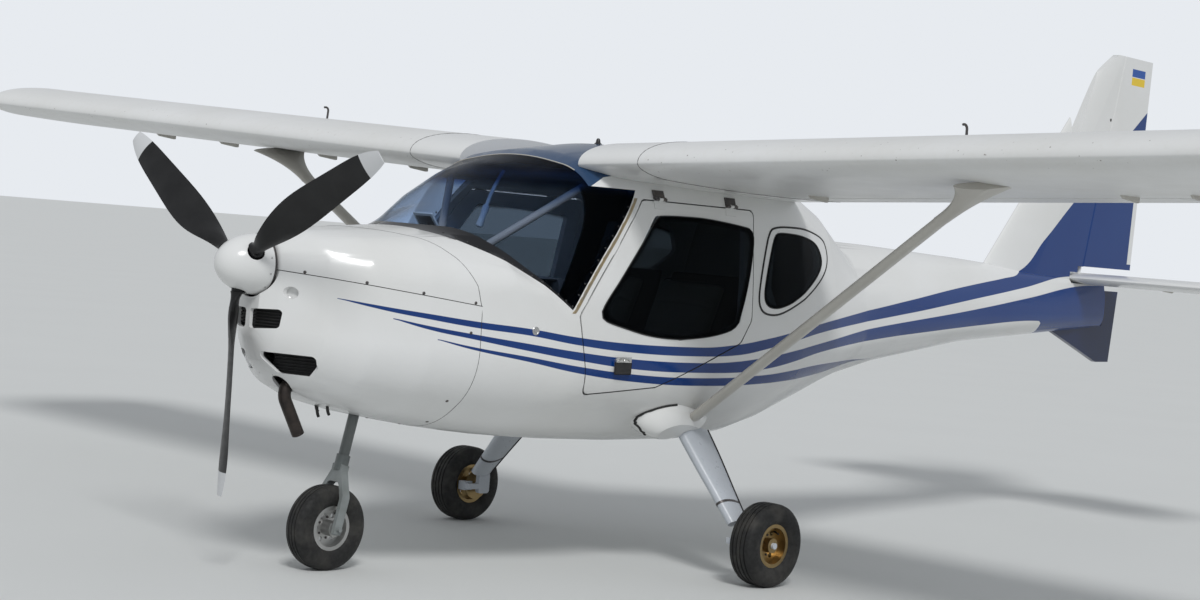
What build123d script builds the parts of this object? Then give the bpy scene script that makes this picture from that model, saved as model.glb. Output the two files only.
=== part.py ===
from build123d import *
import os
from math import atan2, cos, hypot, pi, radians, sin, tan

# Two-seat, high-wing, strut-braced microlight aeroplane on a tricycle gear.
# Millimetres. X runs aft from the spinner's tip, +Y is starboard and +Z is up from the ground.
# The written solids are moved forward by half the length, so that their origin is
# on the ground at mid-length.

# Overall sizes
overall_length = 6386.0
wing_half_span = 4550.0
fin_top_z = 2616.0
running_gap = 5.0
seat_gap = 0.3
# Reaches of the cutting blocks, always past what they cut
half_room = 900.0
whole_room = 2000.0
beyond = 400.0
nose_lead = 60.0

# Skins and walls
cowl_skin = 8.0
cowl_nose_setback = 14.0
cowl_split_front_z = 1168.0
cowl_split_rear_z = 1064.0
cabin_wall = 25.0
glass_thickness = 6.0
boom_skin = 8.0
panel_seam = 3.0

# Stations along the body
cowl_rear_x = 868.0
cabin_rear_x = 3100.0
boom_rear_x = 6040.0
lining_stations = (868, 1150, 1500, 2270, 2750, 3100)

# Body sections, port and starboard alike. Each row is one control polygon, whose corners are then rounded.
# Columns: x, then half width and height of the keel, waist, shoulder, windscreen base and roof corners,
# then the crown's height and how far the windscreen base corner is rounded.
smooth = 0.44
crease = 0.06
cowl_sections = (
    (152, 32, 896, 56, 940, 66, 1110, 54, 1165, 30, 1190, 1196, smooth),
    (195, 62, 806, 118, 890, 132, 1140, 112, 1226, 66, 1262, 1271, smooth),
    (310, 122, 702, 262, 835, 272, 1160, 222, 1262, 122, 1294, 1301, smooth),
    (450, 192, 650, 368, 806, 372, 1172, 292, 1278, 160, 1307, 1314, smooth),
    (660, 238, 603, 454, 786, 445, 1183, 343, 1293, 180, 1324, 1331, smooth),
    (868, 258, 570, 504, 769, 490, 1190, 336, 1302, 180, 1342, 1350, smooth),
)
cabin_sections = (
    (800, 252, 580, 492, 775, 476, 1190, 345, 1298, 150, 1335, 1342, smooth),
    (868, 258, 570, 504, 769, 490, 1190, 336, 1302, 196, 1346, 1384, smooth),
    (1010, 270, 553, 533, 757, 522, 1180, 430, 1254, 325, 1380, 1462, crease),
    (1150, 282, 540, 562, 750, 550, 1122, 530, 1154, 408, 1468, 1556, crease),
    (1300, 300, 530, 590, 748, 582, 1010, 577, 1070, 466, 1548, 1645, 0.2),
    (1500, 318, 521, 606, 748, 592, 1045, 584, 1160, 512, 1640, 1716, smooth),
    (1850, 330, 512, 612, 750, 596, 1060, 584, 1220, 522, 1700, 1768, smooth),
    (2270, 327, 513, 603, 757, 588, 1072, 574, 1232, 511, 1704, 1774, smooth),
    (2520, 302, 536, 577, 787, 564, 1090, 549, 1242, 484, 1688, 1760, smooth),
    (2750, 272, 583, 538, 828, 525, 1110, 508, 1250, 436, 1650, 1734, smooth),
    (3100, 212, 683, 448, 896, 436, 1124, 415, 1237, 323, 1538, 1622, smooth),
)
boom_sections = (
    (3100, 212, 683, 448, 896, 436, 1124, 415, 1237, 323, 1538, 1622, smooth),
    (3280, 182, 738, 398, 926, 386, 1132, 362, 1228, 262, 1442, 1522, smooth),
    (3450, 160, 786, 352, 953, 340, 1140, 314, 1220, 190, 1372, 1452, smooth),
    (3800, 134, 860, 292, 995, 282, 1156, 256, 1228, 150, 1372, 1446, smooth),
    (4600, 82, 974, 185, 1060, 178, 1184, 159, 1248, 91, 1364, 1416, smooth),
    (6060, 14, 1090, 34, 1135, 33, 1225, 30, 1262, 18, 1325, 1342, smooth),
)
keel_share, waist_share, shoulder_share, roof_share, crown_share = 0.44, 0.44, 0.42, 0.44, 0.44

# Windscreen and roof, as side outlines in X and Z
windscreen_front = (802.0, 1332.0)
windscreen_base_mid = (1090.0, 1196.0)
windscreen_base_rear = (1296.0, 1058.0)
roof_seam_x = 1425.0
roof_rear_x = 2150.0
roof_half_width = 452.0
roof_cut_z = 1560.0
pillar_width = 24.0

# Door and windows, as side outlines in X and Z
door_apex = (1303.0, 1050.0)
door_front_bottom = (1366.0, 737.0)
door_bottom_mid = (1760.0, 772.0)
door_bottom_rear = (2255.0, 960.0)
door_rear_low = (2335.0, 1060.0)
door_rear_top = (2352.0, 1528.0)
door_front_top = (1655.0, 1528.0)
door_corner_r = 30.0
door_inner_y = 300.0
door_outer_y = 700.0
door_window = ((1722, 1466), (2283, 1446), (2252, 1050), (2120, 1000), (1872, 968), (1425, 1040))
door_window_corner_r = 24.0
rear_window = ((2520, 1464), (2872, 1440), (2925, 1322), (2745, 1160), (2540, 1086), (2470, 1205))
rear_window_corner_r = 38.0
door_hinge_z = 1533.0
door_hinge_out = 9.0
door_travel = 80.0
door_hinge_stations = (1750.0, 2190.0)
hinge_width = 66.0
hinge_knuckle_gap = 0.6
hinge_leaf_height = 34.0
hinge_leaf_thickness = 3.0
hinge_leaf_sunk = 1.2
hinge_web_low_gap = 3.0
hinge_web_drop, hinge_web_rise = 11.0, 9.0
hinge_knuckle_r = 6.0
hinge_pin_r = 3.0
hinge_pin_clearance = 0.05
latch_x, latch_z = 1538.0, 872.0
latch_length, latch_height, latch_depth = 84.0, 36.0, 10.0

# Cabin inside
floor_z = 580.0
floor_thickness = 12.0
floor_front_x = 895.0
floor_rear_x = 2620.0
bulkhead_x = 2990.0
bulkhead_thickness = 8.0
seat_half_pitch = 240.0
seat_width = 410.0
seat_foot_y, seat_shoulder_z = 290.0, 760.0
seat_corner_radii = (50, 50, 50, 60, 70, 60)
seat_profile = ((1720, 592), (2300, 592), (2440, 1260), (2330, 1240), (2120, 730), (1690, 790))
panel_front_x, panel_rear_x = 1235.0, 1262.0
panel_bottom_z, panel_top_z = 985.0, 1190.0
shelf_front_x = 1000.0
shelf_thickness = 6.0
frame_tube_r = 16.0
tube_lead_share = 0.2
frame_foot = (1084.0, 44.0, 1190.0)
frame_head = (1490.0, 440.0, 1600.0)
spar_tube_r = 22.0

# Engine, firewall and exhaust
firewall_thickness = 14.0
engine_front_x, engine_rear_x = 400.0, 700.0
engine_half_width = 250.0
engine_bottom_z, engine_top_z = 860.0, 1215.0
engine_mount_r = 14.0
engine_mount_y = 200.0
engine_mount_z = (920.0, 1150.0)
exhaust_r, exhaust_bore_r = 24.0, 21.0
exhaust_top = (430.0, -50.0, 859.7)
exhaust_bend = (298.0, -50.0, 690.0)
exhaust_end = (388.0, -50.0, 531.0)
exhaust_bend_r = 60.0
exhaust_hole_r = 40.0

# Air inlets in the lower cowl, as Y and Z, mirrored to the other side
round_inlet, round_inlet_r = (158.0, 1066.0), 23.0
square_inlet = ((12, 996), (12, 922), (128, 932), (138, 1002))
slanted_inlet = ((36, 842), (76, 764), (222, 762), (232, 838))
inlet_corner_r = 14.0
inlet_start_x = 60.0
inlet_depth = 260.0

# Propeller and spinner
shaft_z = 1159.0
propeller_x = 102.0
blade_count = 3
first_blade_angle = 181.8
spinner_length = 176.0
spinner_r = 114.0
spinner_opening_gap = 8.0
spinner_skin = 3.0
hub_r = 52.0
hub_front_x = 46.0
backplate_thickness = 6.0
shaft_r = 20.0
shaft_clearance = 0.05
shaft_stub_x = 130.0
gearbox_r = 62.0
gearbox_front_x = 206.0
shank_r = 25.0
# Columns: radius, chord, thickness, blade angle in degrees from the disc
blade_sections = (
    (165, 72, 30, 58),
    (300, 122, 22, 40),
    (470, 132, 16, 29),
    (660, 112, 11, 22),
    (800, 84, 8, 18),
    (862, 48, 5, 17),
)

# Wing
wing_chord = 1300.0
wing_nose_x, wing_nose_z = 1450.0, 1655.0
wing_root_y = 504.0
wing_incidence = 2.8
wing_dihedral = 2.65
wing_seam = 176.0
wing_crest = 128.0
wing_crest_share = 0.34
wing_belly = 46.0
wing_belly_x = 200.0
wing_tail_thickness = 6.0
wing_tip_start = 3650.0
# Columns: share of the way out along the tip, nose set-back, share of the root's thickness
tip_sections = ((0.0, 0.0, 1.0), (0.55, 95.0, 0.88), (0.88, 330.0, 0.55), (1.0, 640.0, 0.16))
tip_tail_setback = 60.0
flap_hinge_share = 0.755
flap_start, flap_end = 240.0, 1960.0
aileron_start, aileron_end = 1975.0, 3440.0
flap_down, flap_up = 38.0, 0.0
aileron_travel = 20.0
hinge_pin_reach = 18.0
surface_pin_r, surface_pin_clearance = 8.0, 0.05
vent_station, vent_chord_share = 1376.0, 0.36
vent_r, vent_rise, vent_bend = 5.0, 60.0, 16.0
vent_mouth_reach = 26.0

# Lift struts
strut_foot = (2058.0, 596.0, 688.0)
strut_head = (1800.0, 1985.0, 1604.0)
strut_chord, strut_thickness = 88.0, 34.0
gusset_front_x, gusset_rear_x = 1640.0, 1985.0
gusset_length = 150.0
strut_reach = 90.0
strut_sunk = 110.0
gusset_thickness = 30.0

# Main gear
main_axle_x, main_axle_z = 2142.0, 171.0
main_track_half = 914.0
main_tyre_width = 126.0
main_rim_r = 80.0
fairing_centre = (1955.0, 470.0, 640.0)
fairing_outward = (0.1, 0.72, -0.69)
# Columns: distance outwards from the centre, chord, thickness
fairing_sections = ((-90.0, 520.0, 210.0), (30.0, 430.0, 170.0), (80.0, 270.0, 92.0))
leg_top = (2080.0, 470.0, 600.0)
leg_foot = (2136.0, 792.0, 226.0)
leg_top_chord, leg_top_thickness = 112.0, 40.0
leg_foot_chord, leg_foot_thickness = 76.0, 30.0
axle_r = 12.7
axle_clearance = 0.05
foot_length, foot_width, foot_height = 66.0, 22.0, 96.0
brake_disc_r, brake_disc_thickness = 66.0, 4.0
brake_disc_inset = 14.0
caliper_length, caliper_width, caliper_height = 50.0, 44.0, 40.0
caliper_slot = 8.0

# Nose gear
nose_axle_x, nose_axle_z = 595.0, 164.0
nose_rake = 12.6
nose_tyre_width = 104.0
nose_rim_r = 78.0
nose_leg_r = 21.0
nose_leg_low, nose_leg_high = 225.0, 668.0
nose_leg_lugs = (540.0, 625.0)
nose_lug_height, nose_lug_r = 26.0, 36.0
nose_leg_clearance = 0.05
nose_axle_r = 8.0
nose_axle_end = 16.0
nose_steer_travel = 25.0
fork_inner_half, fork_outer_half = 60.0, 77.0
fork_depth = 36.0
fork_crown = 222.0
fork_inner_crown = 178.0
fork_foot = 22.0
fork_crown_half = 30.0
fork_neck_half = 29.0
fork_neck_height = 26.0
fork_inner_shoulder = 118.0
fork_outer_shoulder = 128.0
fork_corner_radii = (22, 30, 7, 7, 34, 18, 6)
leg_collar_r = 27.0
leg_collar_height = 11.0
leg_socket_height = 60.0
cowl_leg_hole_r = 40.0

# Wheel hubs and tyres
wheel_hub_r = 30.0
wheel_disc_thickness = 12.0
rim_wall = 6.0
rim_flange = 9.0
rim_cut_count = 6
rim_cut_r = 10.0
bead_half_share = 0.62
tyre_crown_share = 0.42
bead_round = 0.12

# Tail
fin_root_front_x = 4870.0
fin_root_z = 1290.0
fin_nose_low_z = 1400.0
fin_corner_low = (5800.0, 2500.0)
fin_corner_high_x = 5990.0
crest_share = 0.3
fin_base_thickness, fin_top_thickness = 92.0, 46.0
rudder_hinge_low = (5800.0, 1418.0)
rudder_hinge_high = (6070.0, 2630.0)
rudder_bottom_z = 1418.0
rudder_tail_low_x = 6332.0
rudder_tail_thickness = 6.0
rudder_travel = 25.0
rudder_post_r, rudder_post_reach = 11.0, 34.0
tail_cut_half = 400.0
tail_room_front_x = 5000.0
tail_room_rear_x = 7000.0
ventral = ((5500, 1068), (6030, 887), (6162, 889), (6204, 1290), (5700, 1290))
ventral_thickness = 26.0
tailplane_front_x = 5660.0
tailplane_z = 1350.0
tailplane_half_span = 1240.0
tailplane_chord = 700.0
tailplane_thickness = 64.0
tailplane_tip_r = 170.0
tail_corner_r = 40.0
elevator_hinge_x = 6060.0
elevator_root_y = 62.0
elevator_notch_y = 380.0
elevator_up, elevator_down = 25.0, 20.0
elevator_tail_thickness = 5.0
torque_tube_r = 12.0
torque_bracket_r, torque_bracket_width = 20.0, 30.0

aft = Vector(1, 0, 0)


def corner_radii(points, shares):
    """Radii whose tangent points lie at a share of the shorter side from each corner."""
    radii = []
    for i, share in enumerate(shares):
        into, out = sides_at(points, i)
        turn = abs(atan2(into[0] * out[1] - into[1] * out[0], into[0] * out[0] + into[1] * out[1]))
        radii.append(share * min(hypot(*into), hypot(*out)) / tan(turn / 2))
    return radii


def sides_at(points, i):
    before, corner, after = points[i - 1], points[i], points[(i + 1) % len(points)]
    return (corner[0] - before[0], corner[1] - before[1]), (after[0] - corner[0], after[1] - corner[1])


def rounded_face(points, radii):
    """A closed polygon whose corners are tangent arcs."""
    edges = []
    arcs = []
    for i, (corner, radius) in enumerate(zip(points, radii)):
        into, out = sides_at(points, i)
        length_in, length_out = hypot(*into), hypot(*out)
        turn = abs(atan2(into[0] * out[1] - into[1] * out[0], into[0] * out[0] + into[1] * out[1]))
        reach = radius * tan(turn / 2)
        start = (corner[0] - into[0] / length_in * reach, corner[1] - into[1] / length_in * reach)
        end = (corner[0] + out[0] / length_out * reach, corner[1] + out[1] / length_out * reach)
        chord_mid = ((start[0] + end[0]) / 2, (start[1] + end[1]) / 2)
        depth = hypot(corner[0] - chord_mid[0], corner[1] - chord_mid[1])
        share = radius * (1 / cos(turn / 2) - 1) / depth
        middle = (
            corner[0] + (chord_mid[0] - corner[0]) * share,
            corner[1] + (chord_mid[1] - corner[1]) * share,
        )
        arcs.append((start, middle, end))
    for i, (start, middle, end) in enumerate(arcs):
        edges.append(Edge.make_line((*arcs[i - 1][2], 0), (*start, 0)))
        edges.append(Edge.make_three_point_arc((*start, 0), (*middle, 0), (*end, 0)))
    return Face(Wire(edges))


def inset_polygon(points, distance):
    """Moves every side of a closed anticlockwise polygon inwards."""
    moved = []
    count = len(points)
    for i, corner in enumerate(points):
        before, after = points[i - 1], points[(i + 1) % count]
        angle_in = atan2(corner[1] - before[1], corner[0] - before[0])
        angle_out = atan2(after[1] - corner[1], after[0] - corner[0])
        half_turn = ((angle_out - angle_in + pi) % (2 * pi) - pi) / 2
        normal = angle_in + half_turn + pi / 2
        reach = distance / cos(half_turn)
        moved.append((corner[0] + reach * cos(normal), corner[1] + reach * sin(normal)))
    return moved


def body_section(row, inset=0.0, setback=0.0):
    """One rounded cross-section of the body from its row of corners."""
    x, *pairs, crown_z, base_share = row
    half = [(pairs[i], pairs[i + 1]) for i in range(0, len(pairs), 2)]
    points = half + [(0, crown_z)] + [(-y, z) for y, z in reversed(half)]
    if inset:
        points = inset_polygon(points, inset)
    shares = [keel_share, waist_share, shoulder_share, base_share, roof_share]
    shares = shares + [crown_share] + shares[::-1]
    return Plane.YZ.offset(x + setback) * rounded_face(points, corner_radii(points, shares))


def body_loft(rows, inset=0.0, nose_setback=0.0):
    sections = []
    for row in rows:
        blunt = max(0.0, 1 - (row[0] - rows[0][0]) / 250.0)
        sections.append(body_section(row, inset, nose_setback * blunt))
    return loft(sections, ruled=True)


def side_prism(points, low_y, high_y, radius=None):
    """A side outline in X and Z, drawn through the body from low_y to high_y."""
    if radius:
        face = rounded_face(points, [radius] * len(points))
    else:
        face = make_face(Polyline(*points, close=True))
    return Pos(0, high_y, 0) * extrude(Plane.XZ * face, high_y - low_y)


def block(low, high):
    size = [h - l for l, h in zip(low, high)]
    return Pos(*low) * Box(*size, align=(Align.MIN, Align.MIN, Align.MIN))


def rod(start, end, radius):
    """A round bar between two points."""
    start, end = Vector(*start), Vector(*end)
    along = end - start
    plane = Plane(origin=start, z_dir=along)
    return extrude(plane * Circle(radius), along.length)


def mirrored(shape):
    return mirror(shape, about=Plane.XZ)


def both_sides(name, starboard_shape):
    return {"right_" + name: starboard_shape, "left_" + name: mirrored(starboard_shape)}


def post(radius, height):
    """A round bar that stands on its own origin."""
    return Cylinder(radius, height, align=(Align.CENTER, Align.CENTER, Align.MIN))


def slab(low_x, high_x):
    return block((low_x, -whole_room, 0.0), (high_x, whole_room, 2 * whole_room))


# Body skins, each from its own short table
cowl_outer = body_loft(cowl_sections)
cowl_inside = body_loft(cowl_sections, cowl_skin, cowl_nose_setback)
cowl_fit = body_loft(cowl_sections, cowl_skin + seat_gap, cowl_nose_setback)
cabin_outer = body_loft(cabin_sections)
glass_inside = body_loft(cabin_sections, glass_thickness)
lining_rows = [row for row in cabin_sections if row[0] in lining_stations]
cabin_inside = body_loft(lining_rows, cabin_wall)
cabin_fit = body_loft(lining_rows, cabin_wall + seat_gap)
boom_outer = body_loft(boom_sections)


def windscreen_prism(gap):
    """Everything above the windscreen's base and ahead of the pillar and the roof seam."""
    slope = (door_front_top[0] - door_apex[0]) / (door_front_top[1] - door_apex[1])
    shift = pillar_width + gap
    rear_low = (windscreen_base_rear[0] - shift, windscreen_base_rear[1] + shift / 2 + gap)
    high_z = roof_cut_z + beyond
    front_low = (windscreen_front[0] + gap, windscreen_front[1] + gap)
    middle = (windscreen_base_mid[0], windscreen_base_mid[1] + gap)
    top_rear = (rear_low[0] + slope * (roof_cut_z - rear_low[1]), roof_cut_z)
    seam_x = roof_seam_x - gap
    edge = (
        ThreePointArc(front_low, middle, rear_low)
        + Line(rear_low, top_rear)
        + Line(top_rear, (seam_x, roof_cut_z))
        + Line((seam_x, roof_cut_z), (seam_x, high_z))
        + Line((seam_x, high_z), (front_low[0] - nose_lead, high_z))
        + Line((front_low[0] - nose_lead, high_z), front_low)
    )
    return Pos(0, half_room, 0) * extrude(Plane.XZ * make_face(edge), 2 * half_room)


def door_outline(gap):
    low = [door_apex, door_front_bottom, door_bottom_mid, door_bottom_rear]
    high = [door_rear_low, door_rear_top, door_front_top]
    return side_prism(inset_polygon(low + high, gap), door_inner_y, door_outer_y, door_corner_r)


def window_prism(points, gap, radius):
    anticlockwise = [tuple(map(float, p)) for p in reversed(points)]
    return side_prism(inset_polygon(anticlockwise, gap), door_inner_y - 200, door_outer_y, radius - gap)


roof_box = block(
    (roof_seam_x, -roof_half_width, roof_cut_z),
    (roof_rear_x, roof_half_width, roof_cut_z + beyond),
)
roof_fit = block(
    (roof_seam_x + panel_seam / 2, -roof_half_width + seat_gap, roof_cut_z),
    (roof_rear_x - seat_gap, roof_half_width - seat_gap, roof_cut_z + beyond),
)
nodes = {}


def make_cowls():
    """Upper and lower engine cowls, split on a line that falls towards the firewall."""
    skin = (cowl_outer - cowl_inside) & slab(0, cowl_rear_x)
    backplate_x = spinner_length + backplate_thickness
    shaft_hole = rod((0, 0, shaft_z), (gearbox_front_x + 80, 0, shaft_z), gearbox_r + running_gap)
    room_end = (backplate_x + spinner_opening_gap, 0, shaft_z)
    spinner_room = rod((0, 0, shaft_z), room_end, spinner_r + spinner_opening_gap)
    skin -= [windscreen_prism(0), shaft_hole, spinner_room]
    front, rear = (0.0, cowl_split_front_z), (cowl_rear_x + 10, cowl_split_rear_z)
    below = ((front[0], 0.0), (rear[0], 0.0), rear, front)
    lower_half = side_prism([(x, z - panel_seam / 2) for x, z in below], -half_room, half_room)
    above = (front, rear, (rear[0], whole_room), (front[0], whole_room))
    upper_half = side_prism([(x, z + panel_seam / 2) for x, z in above], -half_room, half_room)
    leg_hole = rod(nose_leg_point(0), nose_leg_point(nose_leg_high + 120), cowl_leg_hole_r)
    bend_x, bend_y, bend_z = exhaust_bend
    exhaust_hole = rod((bend_x, bend_y, bend_z - 150), (bend_x, bend_y, bend_z + 110), exhaust_hole_r)
    lower = (skin & lower_half) - cowl_inlets() - [leg_hole, exhaust_hole]
    return {"upper_cowl": largest(skin & upper_half), "lower_cowl": largest(lower)}


def cowl_inlets():
    """Round, square and slanted air inlets, cut straight back into the nose."""
    plane = Plane.YZ.offset(inlet_start_x)
    cutters = []
    for side in (1, -1):
        eye = plane * Pos(side * round_inlet[0], round_inlet[1]) * Circle(round_inlet_r)
        cutters.append(extrude(eye, inlet_depth))
        for outline in (square_inlet, slanted_inlet):
            face = rounded_face([(side * y, z) for y, z in outline], [inlet_corner_r] * 4)
            hole = extrude(plane * face, inlet_depth, both=True)
            cutters.append(hole & slab(inlet_start_x, inlet_start_x + inlet_depth))
    return cutters


def make_firewall_and_engine():
    firewall = cowl_fit & slab(cowl_rear_x - firewall_thickness, cowl_rear_x)
    firewall -= windscreen_prism(-seat_gap)
    case = block(
        (engine_front_x, -engine_half_width, engine_bottom_z),
        (engine_rear_x, engine_half_width, engine_top_z),
    )
    gearbox = rod((gearbox_front_x, 0, shaft_z), (engine_front_x + 60, 0, shaft_z), gearbox_r)
    shaft = rod((shaft_stub_x, 0, shaft_z), (gearbox_front_x + 10, 0, shaft_z), shaft_r)
    rear = cowl_rear_x - firewall_thickness
    mounts = [
        rod((engine_rear_x - 60, y, z), (rear, y, z), engine_mount_r)
        for y in (-engine_mount_y, engine_mount_y)
        for z in engine_mount_z
    ]
    return {"firewall": firewall, "engine_block": case + gearbox + shaft + mounts}


def slab_above(z):
    return block((0, -whole_room, z), (2 * whole_room, whole_room, 2 * whole_room))


def make_exhaust():
    """A pipe that drops from the engine and bends aft below the cowl."""
    path = FilletPolyline(exhaust_top, exhaust_bend, exhaust_end, radius=exhaust_bend_r)
    start = Plane(origin=exhaust_top, z_dir=Vector(*exhaust_bend) - Vector(*exhaust_top))
    pipe = sweep(start * (Circle(exhaust_r) - Circle(exhaust_bore_r)), path)
    return {"exhaust_pipe": pipe - slab_above(exhaust_top[2] - exhaust_r)}


def nose_leg_point(height):
    """A point on the raked steering axis, at a height along it from the nose axle."""
    rake = radians(nose_rake)
    return (nose_axle_x + height * sin(rake), 0.0, nose_axle_z + height * cos(rake))


def largest(shape):
    return shape.solids().sort_by(SortBy.VOLUME)[-1]


def make_cabin():
    wall = cabin_outer - cabin_inside
    opening = door_outline(0)
    window = window_prism(rear_window, 0, rear_window_corner_r)
    shell = (wall & slab(cowl_rear_x, cabin_rear_x))
    shell -= [windscreen_prism(0), roof_box, opening, mirrored(opening), window, mirrored(window)]
    skin = cabin_outer - glass_inside
    glass = skin & windscreen_prism(seat_gap) & slab(windscreen_front[0] - 50, roof_rear_x)
    rear_glass = skin & window_prism(rear_window, seat_gap, rear_window_corner_r)
    pane = window_prism(door_window, 0, door_window_corner_r)
    leaf = (wall & door_outline(running_gap)) - pane
    door_glass = skin & window_prism(door_window, seat_gap, door_window_corner_r)
    roof = largest(skin & roof_fit)
    made = {"cabin_shell": largest(shell), "windscreen": largest(glass), "roof_panel": roof}
    made.update(both_sides("rear_window", largest(rear_glass)))
    made.update(both_sides("door_panel", largest(leaf)))
    made.update(both_sides("door_window", largest(door_glass)))
    return made


def make_boom():
    inner = body_loft(boom_sections, boom_skin)
    boom = (boom_outer - inner) & slab(cabin_rear_x, boom_rear_x)
    half_slot = tailplane_thickness / 2 + seat_gap
    slot = block(
        (tailplane_front_x - seat_gap, -tail_cut_half, tailplane_z - half_slot),
        (boom_rear_x + 100, tail_cut_half, tailplane_z + half_slot),
    )
    return {"tail_boom": largest(boom - slot)}


def make_inside():
    floor = cabin_fit & block(
        (floor_front_x, -half_room, floor_z),
        (floor_rear_x, half_room, floor_z + floor_thickness),
    )
    bulkhead = cabin_fit & slab(bulkhead_x, bulkhead_x + bulkhead_thickness)
    face = block(
        (panel_front_x, -half_room, panel_bottom_z),
        (panel_rear_x, half_room, panel_top_z),
    )
    shelf = block(
        (shelf_front_x, -half_room, panel_top_z - shelf_thickness),
        (panel_rear_x, half_room, panel_top_z),
    )
    panel = cabin_fit & (face + shelf)
    made = {"cabin_floor": floor, "rear_bulkhead": bulkhead, "instrument_panel": panel}
    return {name: largest(shape) for name, shape in made.items()}


def make_interior_fittings():
    """Seats, the tubes behind the windscreen and the spar tube between the wing roots."""
    seat_face = rounded_face([tuple(map(float, p)) for p in seat_profile], seat_corner_radii)
    inner_y, outer_y = seat_half_pitch - seat_width / 2, seat_half_pitch + seat_width / 2
    seat = Pos(0, outer_y, 0) * extrude(Plane.XZ * seat_face, seat_width)
    low_z, high_z = seat_profile[0][1], seat_profile[2][1] + 100
    across = [(inner_y, low_z), (seat_foot_y, low_z), (outer_y, seat_shoulder_z)]
    across += [(outer_y, high_z), (inner_y, high_z)]
    front_x = seat_profile[-1][0] - 100
    seat &= extrude(Plane.YZ.offset(front_x) * make_face(Polyline(*across, close=True)), 1000)
    foot_x, foot_y, foot_z = frame_foot
    head_x, head_y, head_z = frame_head
    frame = rod((head_x, -half_room, head_z), (head_x, half_room, head_z), spar_tube_r)
    for side in (1, -1):
        foot = Vector(foot_x, side * foot_y, foot_z)
        head = Vector(head_x, side * head_y, head_z)
        frame += rod(foot - (head - foot) * tube_lead_share, head, frame_tube_r)
    frame &= cabin_fit
    frame -= block(
        (shelf_front_x - 100, -half_room, 0),
        (panel_rear_x + 100, half_room, panel_top_z),
    )
    made = {"cabin_frame": largest(frame)}
    made.update(both_sides("seat", seat))
    return made


def side_plane(x, z):
    """A plane on the cabin's side, with its y axis up the side and its z axis outwards."""
    reach = 4.0
    lean = atan2(side_y(x, z - reach) - side_y(x, z + reach), 2 * reach)
    return Plane(origin=(x, side_y(x, z), z), x_dir=(-1, 0, 0), z_dir=(0, cos(lean), sin(lean)))


def side_y(x, z):
    """Half width of the body at a point of its side."""
    near = cabin_outer & rod((x, 100, z), (x, 1000, z), 0.5)
    return near.bounding_box().max.Y


def hinge_axis_y():
    """The door's hinge line, just outside the skin at its hinges."""
    return max(side_y(x, door_hinge_z) for x in door_hinge_stations) + door_hinge_out


def make_hinges(door):
    """Three-knuckle hinges along the door's top edge. The pin and outer knuckles stay with the cabin."""
    axis_y = hinge_axis_y()
    third = hinge_width / 3
    wide = 60.0
    fixed = []
    leaf = Box(hinge_width, hinge_leaf_height, hinge_leaf_thickness)
    leaf_rise = hinge_leaf_height / 2 + 2
    z = door_hinge_z
    for x in door_hinge_stations:
        half = hinge_width / 2
        knuckle = rod((x - half, axis_y, z), (x + half, axis_y, z), hinge_knuckle_r)
        proud = Pos(0, 0, seat_gap + hinge_leaf_thickness / 2)
        sunk = Pos(0, 0, hinge_leaf_thickness / 2 - hinge_leaf_sunk)
        low_rise = hinge_leaf_height / 2 + hinge_knuckle_r
        high = side_plane(x, z + leaf_rise) * proud * leaf
        low = side_plane(x, z - low_rise) * sunk * leaf
        inner_y = side_y(x, z)
        web_low = block(
            (x - half, inner_y + hinge_web_low_gap, z - hinge_web_drop),
            (x + half, axis_y - 1, z),
        )
        web_high = block((x - half, inner_y - 3, z), (x + half, axis_y - 1, z + hinge_web_rise))
        inside = third / 2 - hinge_knuckle_gap / 2
        outside = third / 2 + hinge_knuckle_gap / 2
        centre = block((x - inside, axis_y - wide, z - wide), (x + inside, axis_y + wide, z + wide))
        centre_gap = block(
            (x - outside, axis_y - wide, z - wide),
            (x + outside, axis_y + wide, z + hinge_knuckle_r + 2),
        )
        ends = ((x - third, axis_y, z), (x + third, axis_y, z))
        moving = ((knuckle + web_low) & centre) + low
        still = ((knuckle + web_high + high) - centre_gap) + rod(*ends, hinge_pin_r)
        fixed.append(largest(still - cabin_outer))
        door += moving - rod(*ends, hinge_pin_r + hinge_pin_clearance)
    return largest(door), fixed


def make_latch():
    y = side_y(latch_x, latch_z)
    plate = block(
        (latch_x - latch_length / 2, y - 1.5, latch_z - latch_height / 2),
        (latch_x + latch_length / 2, y + latch_depth, latch_z + latch_height / 2),
    )
    plate = fillet(plate.edges().filter_by(Axis.Y), 10)
    return plate - cabin_outer


def make_propeller():
    """Spinner, backplate and hub on the shaft, with three twisted blades."""
    made = {}
    middle = spinner_length
    outer = spinner_dome(spinner_length, spinner_r)
    inner = spinner_dome(spinner_length - spinner_skin, spinner_r - spinner_skin)
    spinner = outer - (Pos(spinner_skin, 0, 0) * inner)
    hub = rod((hub_front_x, 0, shaft_z), (middle, 0, shaft_z), hub_r)
    hub += rod((middle, 0, shaft_z), (middle + backplate_thickness, 0, shaft_z), spinner_r + 2)
    reach = middle + backplate_thickness
    hub -= rod((shaft_stub_x - 2, 0, shaft_z), (reach, 0, shaft_z), shaft_r + shaft_clearance)
    blades = []
    for i in range(blade_count):
        turn = Pos(propeller_x, 0, shaft_z) * Rot(first_blade_angle + 360.0 / blade_count * i, 0, 0)
        blades.append(turn * make_blade())
        spinner -= turn * Pos(0, 0, hub_r) * post(shank_r + 7, 2 * spinner_r)
    for blade in blades:
        hub -= blade
    made["spinner"] = spinner
    made["propeller_hub"] = hub
    made["propeller_blades"] = Compound(children=blades)
    return made


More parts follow.
